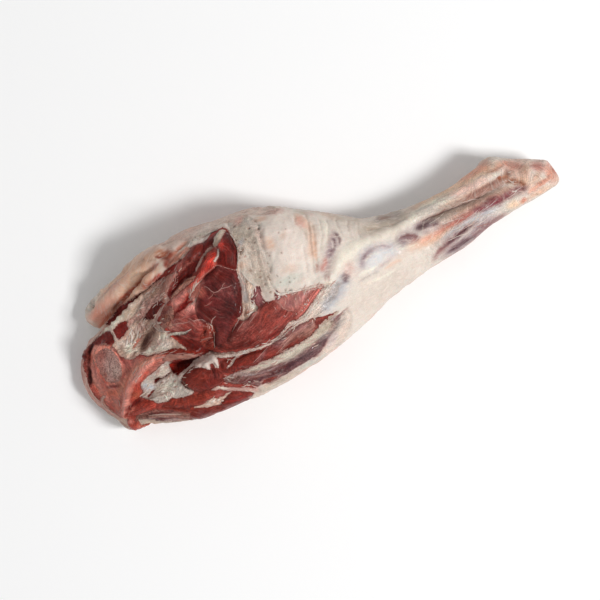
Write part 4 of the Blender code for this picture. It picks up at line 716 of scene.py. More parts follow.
# Lumps and dents on top of the tissues' own relief: (x, y, half length, half width, turn in degrees, rise)
SWELLINGS = [
    (-218, 48, 8, 10, 60, 1.6), (-200, 53, 16, 7, 20, 1.4), (-182, 62, 20, 6, 20, 1.6),
    (-152, 71, 18, 7, 14, 1.6), (-150, 59, 12, 3.4, 28, 2.2), (-166, 52, 12, 2.4, 18, 1.6),
    (-125, 71, 6, 8, 55, -2.4), (-136, 79, 14, 4, 8, 1.2), (-90, 48, 9, 5, 40, 1.2),
    (-71, 67, 8, 4.4, 42, 2.6), (-118.5, -12, 4.4, 4.4, 0, 1.6), (-122, -21, 4, 5, 15, 1.4),
    (-70, 56, 7, 10, -10, 1.2), (-96, 14, 22, 18, -60, 1.2), (-20, 34, 20, 34, 4, 1.2),
    (-52, 30, 12, 30, 4, -0.6), (52, -7, 14, 7, 12, 1.2), (28, -9, 7, 6, 20, 1.2), (92, -9, 12, 5, -14, 1),
    (111, -5, 9, 4, -16, 1.2), (24, 14, 9, 8, 50, 1), (8, 3, 7, 3, 52, 0.8), (200, 24, 12, 5, -12, 1.2),
    (223, 6, 8, 6, 15, 1.6), (207, 11, 6, 4, -10, -2), (198, 10.5, 3.4, 3, -20, -1.4),
    (235, -9, 10, 3.6, 4, 1.2), (242, 3, 6, 6, 0, 1), (203, -17, 10, 3.6, 0, 1.2), (219, -1, 7, 3, -32, 1),
    (215, -12, 3, 5, 0, 1), (182, 22, 12, 4, 12, 0.8), (248, -14, 7, 6, 0, 3), (198, 28, 9, 5, -12, 2.4),
    (247, 7, 6, 5, -30, 1.4), (-200, 70, 22, 5, 28, -4.8), (-178, 77, 24, 6, 16, -6.5),
    (-219, 59, 9, 9, 50, -7), (-199, 67.6, 3, 2.4, 0, 4), (-200, 33, 3, 2.4, 0, 1.4),
    (-193, 36, 3, 2.6, 30, 1.6), (-186, 39, 3, 2.6, 30, 1.6), (-178.6, 42, 3, 3, 0, 1.8),
    (-171.6, 44.6, 3, 2.6, 0, 1.6), (-165.4, 45.6, 2.6, 2.6, 0, 1.4), (-182, 36, 3, 2, 20, 1),
    (-249, -8, 6, 32, 0, 4.4), (-244, 20, 6, 6, 0, 2.4), (-224, -63, 7, 6, 0, 1.8),
    (-208, -37, 7, 5, 35, 1.2), (-210, -53, 12, 4.4, 5, 1.2),
]

# Threads, webs and ribbons of sinew that lie on the leg:
# (width, how far the middle is lifted, colour, places along it)
# Those between the middle muscles
SEAM_THREADS = [
    # between the middle muscles
    (1, 0.2, "cream", (-114.8, -4.6), (-113.4, -8), (-114.2, -11)),
    (0.7, 0.1, "beige", (-113.8, -13), (-115.4, -18), (-118.4, -24), (-120, -28)),
    (0.8, 0.2, "soft cream", (-120.6, -58), (-117.6, -59.6), (-114.6, -61.4)),
]
# Those over the muscles, each with a faint paler streak on the skin under it
WEBS = [
    # webs over the muscles
    (0.7, 0.05, "dusty pink", (-98, -20.6), (-94, -17.4), (-89, -13.8), (-84, -11)),
    (0.55, 0.05, "skin pink", (-93, -22), (-88, -18.6), (-82, -15.4), (-76, -14)),
    (0.55, 0.05, "skin pink", (-80, -20), (-74, -16.6), (-68, -13)),
    (0.7, 0.05, "skin pink", (-87, 43.8), (-83, 41.6), (-80, 39), (-76, 35.5), (-71, 31.5), (-68.6, 29)),
    (0.55, 0.05, "skin pink", (-105, 29.4), (-102, 27.6), (-100.4, 24), (-98.4, 20.8), (-94, 20), (-90, 21),
     (-85, 20), (-79, 20.4)),
    (0.5, 0.05, "clay", (-90, 21), (-87.6, 23.6), (-84.6, 25)),
    (0.5, 0.05, "clay", (-98.4, 20.8), (-102, 18), (-106, 17.4)),
    (0.5, 0.05, "clay", (-112, 12.8), (-107, 12.4), (-103, 14)),
    (0.7, 0.05, "dusty pink", (-113.6, -7), (-112.4, -4.4), (-110, -2), (-106, -0.6)),
    (0.55, 0.05, "old rose", (-121.6, -3.6), (-118, -6), (-114.6, -8.4)),
    (0.55, 0.05, "skin pink", (-130.4, -17), (-126, -16), (-120, -16.8), (-116.4, -18)),
    (0.9, 0.1, "cream white", (-150, 0.4), (-144, -1.6), (-138, -2.6), (-132, -2.2)),
    (0.7, 0.05, "skin pink", (-147, 8.4), (-142, 7.8), (-137, 6), (-131, 5)),
    (0.6, 0.05, "skin pink", (-148, -4.4), (-142, -8), (-136, -12), (-131, -16.6)),
    (0.6, 0.05, "dusty pink", (-128, 4), (-123, 3.2), (-119, 1.4), (-116.6, -1.6)),
    (0.55, 0.05, "old rose", (-143, 13), (-139, 10.6), (-134, 10.8), (-129, 12.6)),
    (0.55, 0.05, "skin pink", (-48, -11), (-45.6, -14.6), (-44, -20), (-40, -24), (-35.6, -25.6)),
    (0.55, 0.05, "skin pink", (-92, -56), (-85, -53), (-78, -50), (-71, -46.6)),
    (0.55, 0.05, "skin pink", (-69, -57), (-60, -53.4), (-52, -49.4), (-46, -47)),
    (0.55, 0.05, "old rose", (-114, 36), (-104, 38.4), (-95, 40.8), (-87, 43.2)),
    (0.55, 0.05, "old rose", (-134, 30.6), (-124, 31.6), (-114, 34.4)),
    (0.55, 0.05, "skin pink", (-122, 17), (-117, 20.6), (-112, 26), (-107, 30)),
    (0.5, 0.05, "old rose", (-114, 61.6), (-106, 66), (-98, 70.6)),
]
# Those at the chump end and in the cavities
EDGE_THREADS = [
    # flange and chump
    (1.2, 0.8, "beige", (-249, 8), (-246.6, 16), (-242, 21.6), (-234, 24), (-226, 27.6), (-216, 31.6)),
    (0.8, 0.3, "beige", (-249, 0), (-249.6, -12), (-248.6, -24), (-244, -33)),
    (1.2, 0.5, "beige", (-238, -28), (-242.6, -29.6), (-244, -34), (-241, -41), (-236.6, -48)),
    (0.9, 0.3, "beige", (-206, 31.6), (-204.6, 25), (-204.4, 18), (-207, 10)),
    # cavities
    (1.2, 0.5, "cream white", (-165, 14.6), (-162.6, 9.6), (-158, 6.4), (-152, 4)),
    (1, 0.4, "beige", (-162, 12), (-162.6, 18), (-158, 24), (-151, 28.6)),
    (0.8, 0.3, "beige", (-206, -61.4), (-196, -65), (-186, -69), (-176, -73.6)),
]
# Colour of the streak under a web of each colour
PALER = {"cream white": "cream white", "dusty pink": "beige", "skin pink": "dusty pink",
         "old rose": "skin pink", "clay": "old rose"}

# Sets of colours for shreds
PALE = ("cream", "beige", "dusty pink")
MIXED = ("cream white", "dusty pink", "clay", "beige")
PINK = ("skin pink", "old rose", "beige")
BRIGHT = ("cream white", "cream", "beige")
# Where loose shreds lie: (how many, x, y, half length, half width, turn,
# direction of the shreds and how far it wanders, length, width, lift, colours)
SHREDS = [
    # upper cavity
    (26, -186, 12, 18, 8, 35, 38, 26, 7, 0.9, 0.5, MIXED),
    (14, -192, 12, 8, 7, 40, 45, 50, 3.6, 1.4, 0.5, BRIGHT),
    (14, -168, 17, 9, 6, 30, 20, 40, 4, 1.4, 0.5, PALE),
    (14, -172, -3, 16, 5, 10, 10, 40, 4, 1.6, 0.5, PALE),
    (10, -165, 40, 20, 4, 22, 20, 20, 6, 1.4, 0.5, PALE),
    (10, -150, 36, 8, 4, 20, 30, 30, 5, 0.7, 0.3, PALE),
    (8, -158, 46, 16, 2, 10, 12, 12, 7, 0.7, 0.3, PALE),
    # lower cavity
    (14, -186, -38, 16, 6, 10, 8, 24, 7, 1, 0.5, PALE),
    (22, -180, -50, 14, 5, 5, 4, 44, 3, 1.2, 0.5, BRIGHT),
    (6, -167, -41, 8, 8, 0, 20, 40, 5, 1.3, 0.6, PALE), (12, -178, -27, 10, 2, 12, 10, 14, 6, 1, 0.4, PALE),
    (8, -142, -36, 20, 3, 10, 14, 24, 5, 0.8, 0.3, BRIGHT),
    # ridge
    (12, -205, -24, 20, 4, 42, 36, 16, 9, 0.8, 0.3, PINK),
    (10, -172, -15, 20, 4, -6, -4, 16, 9, 0.8, 0.3, PINK),
    (8, -145, -24, 16, 3, -26, -24, 14, 9, 0.8, 0.3, PINK),
    (6, -228, -47, 4, 8, 40, 44, 20, 7, 0.8, 0.3, PINK),
    # bands of fat
    (5, -124, -59, 8, 3, -10, -20, 20, 4, 0.8, 0.3, BRIGHT),
    (16, -86, -62, 30, 3.5, -3, -3, 12, 8, 0.9, 0.3, PALE),
    (14, -36, -61, 24, 3.5, -4, -4, 14, 8, 0.9, 0.3, PALE),
    (10, -106, -76, 8, 8, -30, -34, 20, 6, 1.2, 0.5, PALE),
    (10, -148, -74, 14, 2, -2, -4, 24, 5, 1.4, 0.5, BRIGHT),
    (12, -88, -43.4, 34, 1.8, -3, -2, 10, 8, 0.8, 0.3, BRIGHT),
    (18, -30, -36, 22, 3, 22, 24, 12, 9, 0.8, 0.3, BRIGHT),
    (12, -8, -25, 12, 4, 26, 28, 16, 9, 0.7, 0.2, PALE),
    (6, -112, -46, 9, 3, 24, 26, 20, 6, 0.6, 0.2, PALE),
    (20, -25, -16, 18, 3.6, 10, 65, 16, 3.4, 0.45, 0.1, PINK),
    (12, -24, -26, 12, 2, 30, 60, 50, 1.6, 0.7, 0.2, BRIGHT),
    # between the far muscles
    (10, -122, 21, 7, 3, 35, 40, 24, 5, 0.7, 0.3, PINK),
    (16, -116, 31, 9, 2, 36, 38, 18, 6, 0.7, 0.3, PALE),
    (8, -124, 53, 12, 5, 40, 40, 30, 4, 0.9, 0.3, PINK),
    (8, -114, 62, 14, 2.4, 32, 34, 12, 8, 0.9, 0.3, PALE),
    (6, -132, 41, 8, 3, 40, 40, 16, 6, 0.6, 0.2, PINK), (8, -142, 49, 8, 6, 50, 40, 30, 5, 0.8, 0.3, PINK),
    (22, -91, 74.6, 7, 2.4, 6, 8, 30, 4, 1.4, 0.6, BRIGHT),
    (12, -119, -10, 5, 6, 10, 70, 50, 3, 0.5, 0.2, PINK),
    # round the fat cap
    (16, -76, -8, 7, 5, 40, 60, 50, 3, 0.9, 0.3, BRIGHT),
    (16, -67, 3, 3.4, 12, -10, 76, 40, 4, 0.8, 0.3, BRIGHT),
    (20, -68, 20, 2.4, 10, -6, 80, 20, 7, 0.9, 0.3, PALE),
    (20, -42, -8, 16, 2, -6, -30, 40, 3, 0.8, 0.3, BRIGHT),
    (30, -14, -13, 18, 2.4, -8, -6, 24, 6, 0.9, 0.4, PALE),
    (16, -60, 47, 1.6, 8, 8, 30, 60, 2.6, 1.1, 0.5, PALE),
    # shank and hock
    (40, 146, 0, 44, 18, 0, 2, 6, 16, 0.5, 0.1, MIXED),
    (30, 150, -18, 44, 8, 6, 6, 6, 16, 0.5, 0.1, BRIGHT),
    (24, 150, 12, 44, 5, 2, 3, 6, 16, 0.5, 0.1, BRIGHT),
    (16, 206, 4, 8, 10, 0, -24, 30, 6, 0.6, 0.3, MIXED),
]

# Cut ends of vessels: (x, y, radius, thickness, colour)
VESSELS = [(-243.2, 15.6, 2.6, 0.9, "rose")]

# Flakes of fat that stand up a little, at the torn edges of the cap and in the cavities:
# (colour, width, lift, places along it)
FLAKES = [
    ("cream white", 2.6, 0.6, (-46, 1), (-43.6, -5), (-38, -7.6), (-31, -8.6)),
    ("cream white", 2.4, 0.6, (-34, -7.6), (-27, -9.6), (-20, -11)),
    ("cream", 2.4, 0.5, (-24, -10), (-16, -12), (-8, -13), (-2, -15)),
    ("cream", 2, 0.4, (-78, -12), (-73, -11), (-68, -12)),
    ("soft cream", 2, 0.5, (-60, 10), (-63, 16), (-65.6, 24), (-67, 31)),
    ("soft cream", 2, 0.5, (-67, 36), (-63.6, 42), (-61.6, 49)),
    ("soft cream", 2, 0.5, (-61, 52), (-60.6, 59), (-62, 66)),
    ("soft cream", 2.2, 0.5, (-72, 75), (-80, 74.6), (-88, 73)),
    ("soft cream", 2.2, 0.5, (-90, 72.6), (-96, 73.6), (-101, 72)),
    # the two white flakes in the lower cavity are crumbs of torn fat whose white also stands for painted
    # glints
    ("white", 1.5, 0.6, (-184, -49), (-182.4, -52), (-183, -55)),
    ("white", 1.4, 0.5, (-177.4, -47), (-175.4, -50), (-174.6, -53)),
    ("cream white", 1.6, 0.5, (-199, 8), (-196, 12), (-194, 16)),
    ("cream white", 1.5, 0.5, (-193, 9), (-190, 14), (-189, 19)),
]

# ---- numbers --------------------------------------------------------------------------


def soft_step(value, low, high):
    share = np.clip((value - low) / (high - low), 0, 1)
    return share * share * (3 - 2 * share)


def blend(a, b, share):
    """Between a and b, for rows of colours as well as for single values."""
    share = share[:, None] if np.ndim(b) and np.ndim(a) == 2 else share
    return a + (np.asarray(b) - a) * share


def linear(colour):
    """A colour of 0 to 1 as screens show it, in the linear values that light is worked out in."""
    colour = np.asarray(colour, float)
    return np.where(colour <= 0.04045, colour / 12.92, ((colour + 0.055) / 1.055) ** 2.4)


def tone(name):
    """A colour of the palette, as 0 to 1."""
    return np.array(PALETTE[name]) / 255


def shade(name):
    """A colour of the palette, for a socket."""
    return (*linear(tone(name)), 1.0)


def lattice_noise(points, seed=0):
    """Smooth random values from -1 to 1, one lump per unit of the points."""
    cell = np.floor(points).astype(np.int64)
    share = points - cell
    share = share * share * (3 - 2 * share)
    total = np.zeros(len(points))
    for corner in itertools.product((0, 1), repeat=3):
        mixed = ((cell + corner) * (73856093, 19349663, 83492791)).sum(axis=1) + seed * 2654435761
        mixed = (mixed ^ (mixed >> 13)) * 1274126177 & 0xFFFFFFFF
        mixed = (mixed ^ (mixed >> 16)) & 0xFFFF
        weight = np.prod(np.where(corner, share, 1 - share), axis=1)
        total += weight * (mixed / 32767.5 - 1)
    return total


def lumps(points, size, seed=0, octaves=3):
    """Noise whose largest lumps have the given size, with finer ones on top."""
    total = np.zeros(len(points))
    for octave in range(octaves):
        total += lattice_noise(points * 2**octave / size, seed + octave) / 2**octave
    return total


def smooth_line(points, steps=4, closed=False):
    """A smooth curve through points in any number of dimensions."""
    points = np.array(points, float)
    if closed:
        padded = np.concatenate([points[-1:], points, points[:2]])
    else:
        padded = np.concatenate([2 * points[:1] - points[1:2], points, 2 * points[-1:] - points[-2:-1]])
    share = np.linspace(0, 1, steps, endpoint=False)[:, None]
    pieces = []
    for a, b, c, d in zip(padded[:-3], padded[1:-2], padded[2:-1], padded[3:]):
        bend, twist = 2 * a - 5 * b + 4 * c - d, 3 * b - a - 3 * c + d
        pieces.append(0.5 * (2 * b + (c - a) * share + bend * share**2 + twist * share**3))
    if not closed:
        pieces.append(points[-1:])
    return np.concatenate(pieces)


def near_segment(x, y, start, end):
    """(distance to a straight line, how far along it the nearest place is from 0 to 1)"""
    ax, ay = start
    run_x, run_y = end[0] - ax, end[1] - ay
    along = np.clip(((x - ax) * run_x + (y - ay) * run_y) / (run_x**2 + run_y**2 + 1e-9), 0, 1)
    return np.hypot(x - ax - along * run_x, y - ay - along * run_y), along


def distance_inside(x, y, outline):
    """How far each place lies inside a closed outline, negative outside it."""
    nearest = np.full(x.shape, np.inf)
    inside = np.zeros(x.shape, bool)
    for start, end in zip(outline, np.roll(outline, -1, axis=0)):
        nearest = np.minimum(nearest, near_segment(x, y, start, end)[0])
        (ax, ay), (bx, by) = start, end
        if ay != by:
            inside ^= ((ay > y) != (by > y)) & (x < ax + (y - ay) * (bx - ax) / (by - ay))
    return np.where(inside, nearest, -nearest)


def distance_along(x, y, line):
    """(distance to an open line, how far along it the nearest place is from 0 to 1)."""
    nearest, place = np.full(x.shape, np.inf), np.zeros(x.shape)
    for i, (start, end) in enumerate(zip(line[:-1], line[1:])):
        away, along = near_segment(x, y, start, end)
        nearer = away < nearest
        nearest[nearer] = away[nearer]
        place[nearer] = (i + along[nearer]) / (len(line) - 1)
    return nearest, place


# ---- the skin of the leg, vertex by vertex --------------------------------------------

# Height of the line below which the outer coat of fat begins, as (x, height)
SKIRT = [(-250, 0), (-236, 6), (-205, 12), (-150, 20), (-90, 30), (-20, 30), (40, 26), (90, 24), (250, 18)]
OUTER_COAT = "soft cream"
OUTER_PINK = "rose"
# How far the fat that no table names stands out
CAP_THICKNESS = 2.0
# How far from an edge the skin still knows its distance
REACH = 12.0
# How far in from its edge a tissue has swollen to its full rise
CROWN = 6
# Over how much the edge of each tissue fades into the next
FADES = {MUSCLE: 0.8, SOFT: 3.0, FAT: 0.8, GAP: 1.3}
# The streaks under the webs: how much wider than half the web, and how strong
WEB_GLOW = 0.65
WEB_STRENGTH = 0.33
# Where the flesh lies below the sawn bones: (x, y, half length, half width, turn in degrees)
SOCKETS = [(-222, -2, 18.5, 12, 90), (-149.5, 18, 10.4, 6.2, 43)]


class Skin:
    """What the painting knows about each vertex, in table units and screen colours of 0 to 1."""

    def __init__(self, mesh):
        count = len(mesh.vertices)
        self.place = np.zeros(count * 3, np.float32)
        mesh.vertices.foreach_get("co", self.place)
        self.place = (self.place.reshape(-1, 3).astype(float) - MIDDLE) / MM
        self.normal = np.zeros(count * 3, np.float32)
        mesh.vertices.foreach_get("normal", self.normal)
        self.normal = self.normal.reshape(-1, 3).astype(float)
        steep = 1 - soft_step(self.normal[:, 2], -0.1, 0.3)
        self.flank = steep * soft_step(self.place[:, 0], -100, -60)
        slant = 0.4 * (self.place[:, 2] - 35)
        slant += 14 * lumps(self.place, 36, 31, 2) + 4 * lumps(self.place, 11, 32, 2)
        self.x = self.place[:, 0] + 0.6 * lumps(self.place, 9, 1) + 0.45 * lumps(self.place, 3.2, 2, 2)
        self.x += steep * slant
        self.y = self.place[:, 1] + 0.6 * lumps(self.place, 9, 3) + 0.45 * lumps(self.place, 3.2, 4, 2)
        self.fat = np.full(count, REACH)
        self.edge = np.full(count, REACH)
        self.rise = np.full(count, CAP_THICKNESS)
        self.angle = np.zeros(count)
        self.shadow = np.zeros(count)
        self.sleek = np.zeros(count)
        self.strings = 0.1 + 0.45 * soft_step(self.place[:, 0], 84, 140)
        self.meat = np.tile(tone("meat"), (count, 1))
        self.cream = np.tile(tone("milk"), (count, 1))

    def close_to(self, line, margin=REACH):
        low, high = np.min(line, axis=0) - margin, np.max(line, axis=0) + margin
        return np.flatnonzero(
            (self.x > low[0]) & (self.x < high[0]) & (self.y > low[1]) & (self.y < high[1])
            & (self.normal[:, 2] > -0.5)
        )

    def paint(self, tissue, colour, angle, rise, strings, *outline):
        outline = smooth_line(outline, closed=True)
        at = self.close_to(outline)
        inside = distance_inside(self.x[at], self.y[at], outline)
        self.lay(at, inside, tissue, colour, angle, rise, strings)

    def paint_strip(self, colour, width, rise, *points):
        line = smooth_line(points)
        at = self.close_to(line)
        away, along = distance_along(self.x[at], self.y[at], line)
        taper = 0.45 + 0.55 * np.sqrt(np.clip(1 - (2 * along - 1) ** 2, 0, 1))
        self.lay(at, width / 2 * taper - away, FAT, colour, None, rise, None)

    def lay(self, at, inside, tissue, colour, angle, rise, strings):
        """Lays one tissue where inside is above 0."""
        was_fat = self.fat[at] > 0
        same = was_fat == (tissue == FAT)
        fade = FADES[tissue]
        share = soft_step(inside, np.where(same, -1.5 * fade, -4.0), fade)
        self.tint(at, share, colour, tissue)
        if tissue == FAT:
            self.fat[at] = np.maximum(self.fat[at], inside)
        else:
            self.fat[at] = np.minimum(self.fat[at], -inside)
        if tissue != SOFT:
            self.edge[at] = np.where(inside > 0, inside, np.minimum(self.edge[at], -inside))
        crown = 1 - (1 - np.clip(inside / CROWN, 0, 1)) ** 2
        reach = soft_step(inside, -1.0, 1.0)
        self.rise[at] = blend(self.rise[at], rise * crown, reach)
        if angle is not None:
            self.angle[at[inside > -0.6]] = angle
        if strings is not None:
            self.strings[at] = blend(self.strings[at], strings, reach)
            self.sleek[at] = blend(self.sleek[at], float(tissue == SOFT), reach)

    def tint(self, at, share, colour, tissue):
        field = self.cream if tissue == FAT else self.meat
        field[at] = blend(field[at], tone(colour), share)

    def patch(self, x, y, half_length, half_width, turn, hard=0.2, facing=-0.1):
        """(the vertices of an ellipse that face up enough, 1 in its middle and 0 outside it)"""
        reach = 1.4 * max(half_length, half_width)
        at = self.close_to(np.array([(x - reach, y - reach), (x + reach, y + reach)]), 0)
        c, s = math.cos(math.radians(turn)), math.sin(math.radians(turn))
        along = ((self.x[at] - x) * c + (self.y[at] - y) * s) / half_length
        across = ((self.y[at] - y) * c - (self.x[at] - x) * s) / half_width
        share = 1 - soft_step(np.hypot(along, across), hard, 1.35)
        return at, share * soft_step(self.normal[at, 2], facing, facing + 0.3)

    def stain(self, x, y, half_length, half_width, turn, colour, strength, tissue):
        at, share = self.patch(x, y, half_length, half_width, turn)
        self.tint(at, strength * share, colour, tissue)

    def swell(self, x, y, half_length, half_width, turn, rise):
        at, share = self.patch(x, y, half_length, half_width, turn, 0.0, -0.6)
        self.rise[at] += rise * share

    def streak(self, tissue, half_width, colour, strength, *points):
        """A soft brush stroke that narrows and fades towards its ends."""
        line = smooth_line(points)
        at = self.close_to(line)
        away, along = distance_along(self.x[at], self.y[at], line)
        ends = soft_step(along, -0.1, 0.25) * soft_step(1 - along, -0.1, 0.25)
        broken = 1 + 0.25 * lumps(self.place[at], 7, 21, 2)
        share = ends * np.exp(-((away / (half_width * (0.4 + 0.6 * ends) * broken)) ** 2))
        self.tint(at, strength * share, colour, tissue)

    def crease(self, depth, half_width, dark, *points):
        line = smooth_line(points)
        at = self.close_to(line)
        away, along = distance_along(self.x[at], self.y[at], line)
        ends = soft_step(along, 0, 0.12) * soft_step(1 - along, 0, 0.12)
        dip = ends * np.exp(-((away / half_width) ** 2) * 2) * (1 + 0.3 * lumps(self.place[at], 6, 22, 2))
        self.rise[at] -= depth * dip
        # painted shade along the crease
        self.shadow[at] = np.maximum(self.shadow[at], dark * dip)

    def pit(self, x, y, radius):
        at, share = self.patch(x, y, 1.2 * radius, radius, 40 * math.sin(7 * x + y), 0.2)
        self.rise[at] -= 0.8 * radius * share
        # painted shade in the pit, which also stands for its dark crumbs
        self.shadow[at] = np.maximum(self.shadow[at], 0.75 * share)
        at, rim = self.patch(x, y, 2.4 * radius, 2.0 * radius, 0, 0.6)
        self.rise[at] += 0.3 * radius * rim

    def coat_the_outside(self):
        """The fat of the outer side, which the board hides, reaches up to a ragged line on the flanks."""
        limit = np.interp(self.place[:, 0], *np.transpose(SKIRT))
        below = limit + 5 * lumps(self.place, 22, 5) - self.place[:, 2]
        outer = soft_step(below, -3, 5)
        pink = soft_step(lumps(self.place, 34, 6), -0.2, 0.9) * 0.8
        coat = blend(np.tile(tone(OUTER_COAT), (len(pink), 1)), tone(OUTER_PINK), pink)
        thin = lumps(self.place * (0.5, 1, 1), 30, 7, 2)
        self.fat = np.maximum(self.fat, np.minimum(below, REACH))
        self.fat = np.where(below > 6, np.minimum(self.fat, 9 * (0.85 - thin)), self.fat)
        even = np.maximum(outer, 0.85 * self.flank)
        self.cream = self.cream + (coat - self.cream) * even[:, None]
        self.rise = self.rise * (1 - outer) + 1.0 * outer
        self.strings = blend(self.strings, 0.25, np.maximum(outer, self.flank))


def painted(mesh):
    """The skin of a mesh with everything in the tables on it."""
    skin = Skin(mesh)
    for tissue in TISSUES.values():
        skin.paint(*tissue)
    for strip in STRIPS:
        skin.paint_strip(*strip)
    for tissue, stains, streaks in (FAT, FAT_STAINS, FAT_STREAKS), (MUSCLE, MEAT_STAINS, MEAT_STREAKS):
        for stain in stains:
            skin.stain(*stain, tissue)
        for streak in streaks:
            skin.streak(tissue, *streak)
    for width, _, colour, *points in WEBS:
        skin.streak(MUSCLE, width / 2 + WEB_GLOW, PALER[colour], WEB_STRENGTH, *points)
    for work, rows in (skin.swell, SWELLINGS), (skin.crease, CREASES), (skin.pit, PITS):
        for row in rows:
            work(*row)
    skin.coat_the_outside()
    for socket in SOCKETS:
        at, share = skin.patch(*socket, 0.8)
        skin.rise[at] = blend(skin.rise[at], -1.6, share)
    return skin


def grain(skin):
    """Places along and across the fibres."""
    angle = np.radians(skin.angle + 9 * lumps(skin.place, 30, 8, 2))
    along = skin.place[:, 0] * np.cos(angle) + skin.place[:, 1] * np.sin(angle)
    across = skin.place[:, 1] * np.cos(angle) - skin.place[:, 0] * np.sin(angle)
    return np.stack([along, across, skin.place[:, 2]], axis=1)


def relief(skin):
    """How far each vertex stands out of the plain form, in table units."""
    fat = soft_step(skin.fat, -0.4, 0.8)
    fibres = grain(skin)
    ridges = lattice_noise(fibres * (1 / 16, 1 / 2.1, 1 / 6), 11)
    ridges += 0.5 * lattice_noise(fibres * (1 / 8, 1, 0.3), 12)
    cords = lattice_noise(fibres * (1 / 30, 1 / 3.2, 1 / 3.2), 13)
    cords += 0.7 * lattice_noise(fibres * (1 / 13, 0.6, 0.6), 14)
    shank = soft_step(skin.place[:, 0], 84, 132)
    soft = 0.7 * lumps(skin.place, 14, 15) + 0.36 * lumps(skin.place, 4.6, 16, 2)
    rough = np.exp(-(((skin.place[:, 0] + 50) / 15) ** 2)) * soft_step(skin.place[:, 1], -12, 4)
    fatty = soft * (1 - 0.5 * shank) + (1.1 - 0.6 * shank) * cords * skin.strings
    fatty += 0.55 * rough * lumps(skin.place, 5, 17, 2)
    meaty = (0.26 + 0.3 * skin.strings) * ridges * (1 - 0.7 * skin.sleek)
    meaty += 0.34 * lumps(skin.place, 8, 18, 2)
    torn = soft_step(lumps(skin.place, 11, 19, 2), -0.2, 0.7)
    seam = 0.5 * torn * np.exp(-((skin.edge / 1.3) ** 2)) * (1 - 0.6 * fat)
    return skin.rise - seam + fatty * fat + meaty * (1 - fat)


# ---- meshes ---------------------------------------------------------------------------


def show(name, mesh, material, replaced=()):
    """Puts a finished mesh into the scene as a piece of the leg."""
    obj = bpy.data.objects.new(name, mesh)
    bpy.context.scene.collection.objects.link(obj)
    mesh.materials.clear()
    mesh.materials.append(material)
    mesh.shade_smooth()
    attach(obj, "root")
    if replaced:
        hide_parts(*replaced)
    return obj


def evaluated(obj):
    """The mesh of an object with its modifiers worked in; the object is taken away."""
    graph = bpy.context.evaluated_depsgraph_get()
    mesh = bpy.data.meshes.new_from_object(obj.evaluated_get(graph))
    bpy.data.objects.remove(obj)
    return mesh


# How far all nodes but the first are swollen, so that they join it in one skin
SWOLLEN = 0.9


def node_copy(nodes):
    """Welded copies of CAD nodes as one object that modifiers can work on."""
    bm = bmesh.new()
    for i, node in enumerate(nodes):
        part = bmesh.new()
        part.from_mesh(frame["nodes"][node].data)
        bmesh.ops.remove_doubles(part, verts=part.verts, dist=1e-6)
        if i:
            part.normal_update()
            for vertex in part.verts:
                vertex.co += vertex.normal * SWOLLEN * MM
        held = bpy.data.meshes.new(node + "_part")
        part.to_mesh(held)
        part.free()
        bm.from_mesh(held)
    mesh = bpy.data.meshes.new(nodes[0] + "_work")
    bm.to_mesh(mesh)
    bm.free()
    obj = bpy.data.objects.new(mesh.name, mesh)
    bpy.context.scene.collection.objects.link(obj)
    return obj


def fine_copy(nodes, cell, rounds):
    """CAD nodes joined into one even, finely meshed and softened skin."""
    obj = node_copy(nodes)
    rounder = obj.modifiers.new("rounder", "SUBSURF")
    rounder.levels = 1
    even = obj.modifiers.new("even", "REMESH")
    even.mode = "VOXEL"
    even.voxel_size = cell * MM
    soften = obj.modifiers.new("soften", "SMOOTH")
    soften.factor = 0.5
    soften.iterations = rounds
    return evaluated(obj)


def move_out(mesh, normal, distance):
    """Moves vertices along their normals, and keeps them above the floor."""
    place = np.zeros(len(mesh.vertices) * 3, np.float32)
    mesh.vertices.foreach_get("co", place)
    place = place.reshape(-1, 3) + normal * distance[:, None] * MM
    place[:, 2] = np.maximum(place[:, 2], LEG_LOW.z)
    mesh.vertices.foreach_set("co", place.astype(np.float32).ravel())
    mesh.update()


def set_values(mesh, name, kind, values):
    layer = mesh.attributes.new(name, kind, "POINT")
    key = {"FLOAT": "value", "FLOAT_VECTOR": "vector", "FLOAT_COLOR": "color"}[kind]
    layer.data.foreach_set(key, np.ascontiguousarray(values, np.float32).ravel())


def set_colour(mesh, name, colour):
    rows = linear(np.clip(colour, 0, 1))
    set_values(mesh, name, "FLOAT_COLOR", np.column_stack([rows, np.ones(len(rows))]))


def dress_skin(mesh):
    """Relief first, then the values that the flesh material reads."""
    skin = painted(mesh)
    move_out(mesh, skin.normal, relief(skin))
    for name in ("fat", "edge", "strings", "shadow", "sleek"):
        set_values(mesh, name, "FLOAT", getattr(skin, name))
    set_values(mesh, "grain", "FLOAT_VECTOR", grain(skin))
    set_colour(mesh, "meat_colour", skin.meat)
    set_colour(mesh, "fat_colour", skin.cream)


def ground():
    """The finished flesh and bones as one tree to drape things over."""
    verts, faces = [], []
    for obj in bpy.context.scene.objects:
        if obj.name.startswith(("flesh", "hip_bone_face", "pubic_bone_face")):
            start = len(verts)
            verts += [obj.matrix_world @ v.co for v in obj.data.vertices]
            faces += [tuple(start + i for i in p.vertices) for p in obj.data.polygons]
    return BVHTree.FromPolygons(verts, faces)


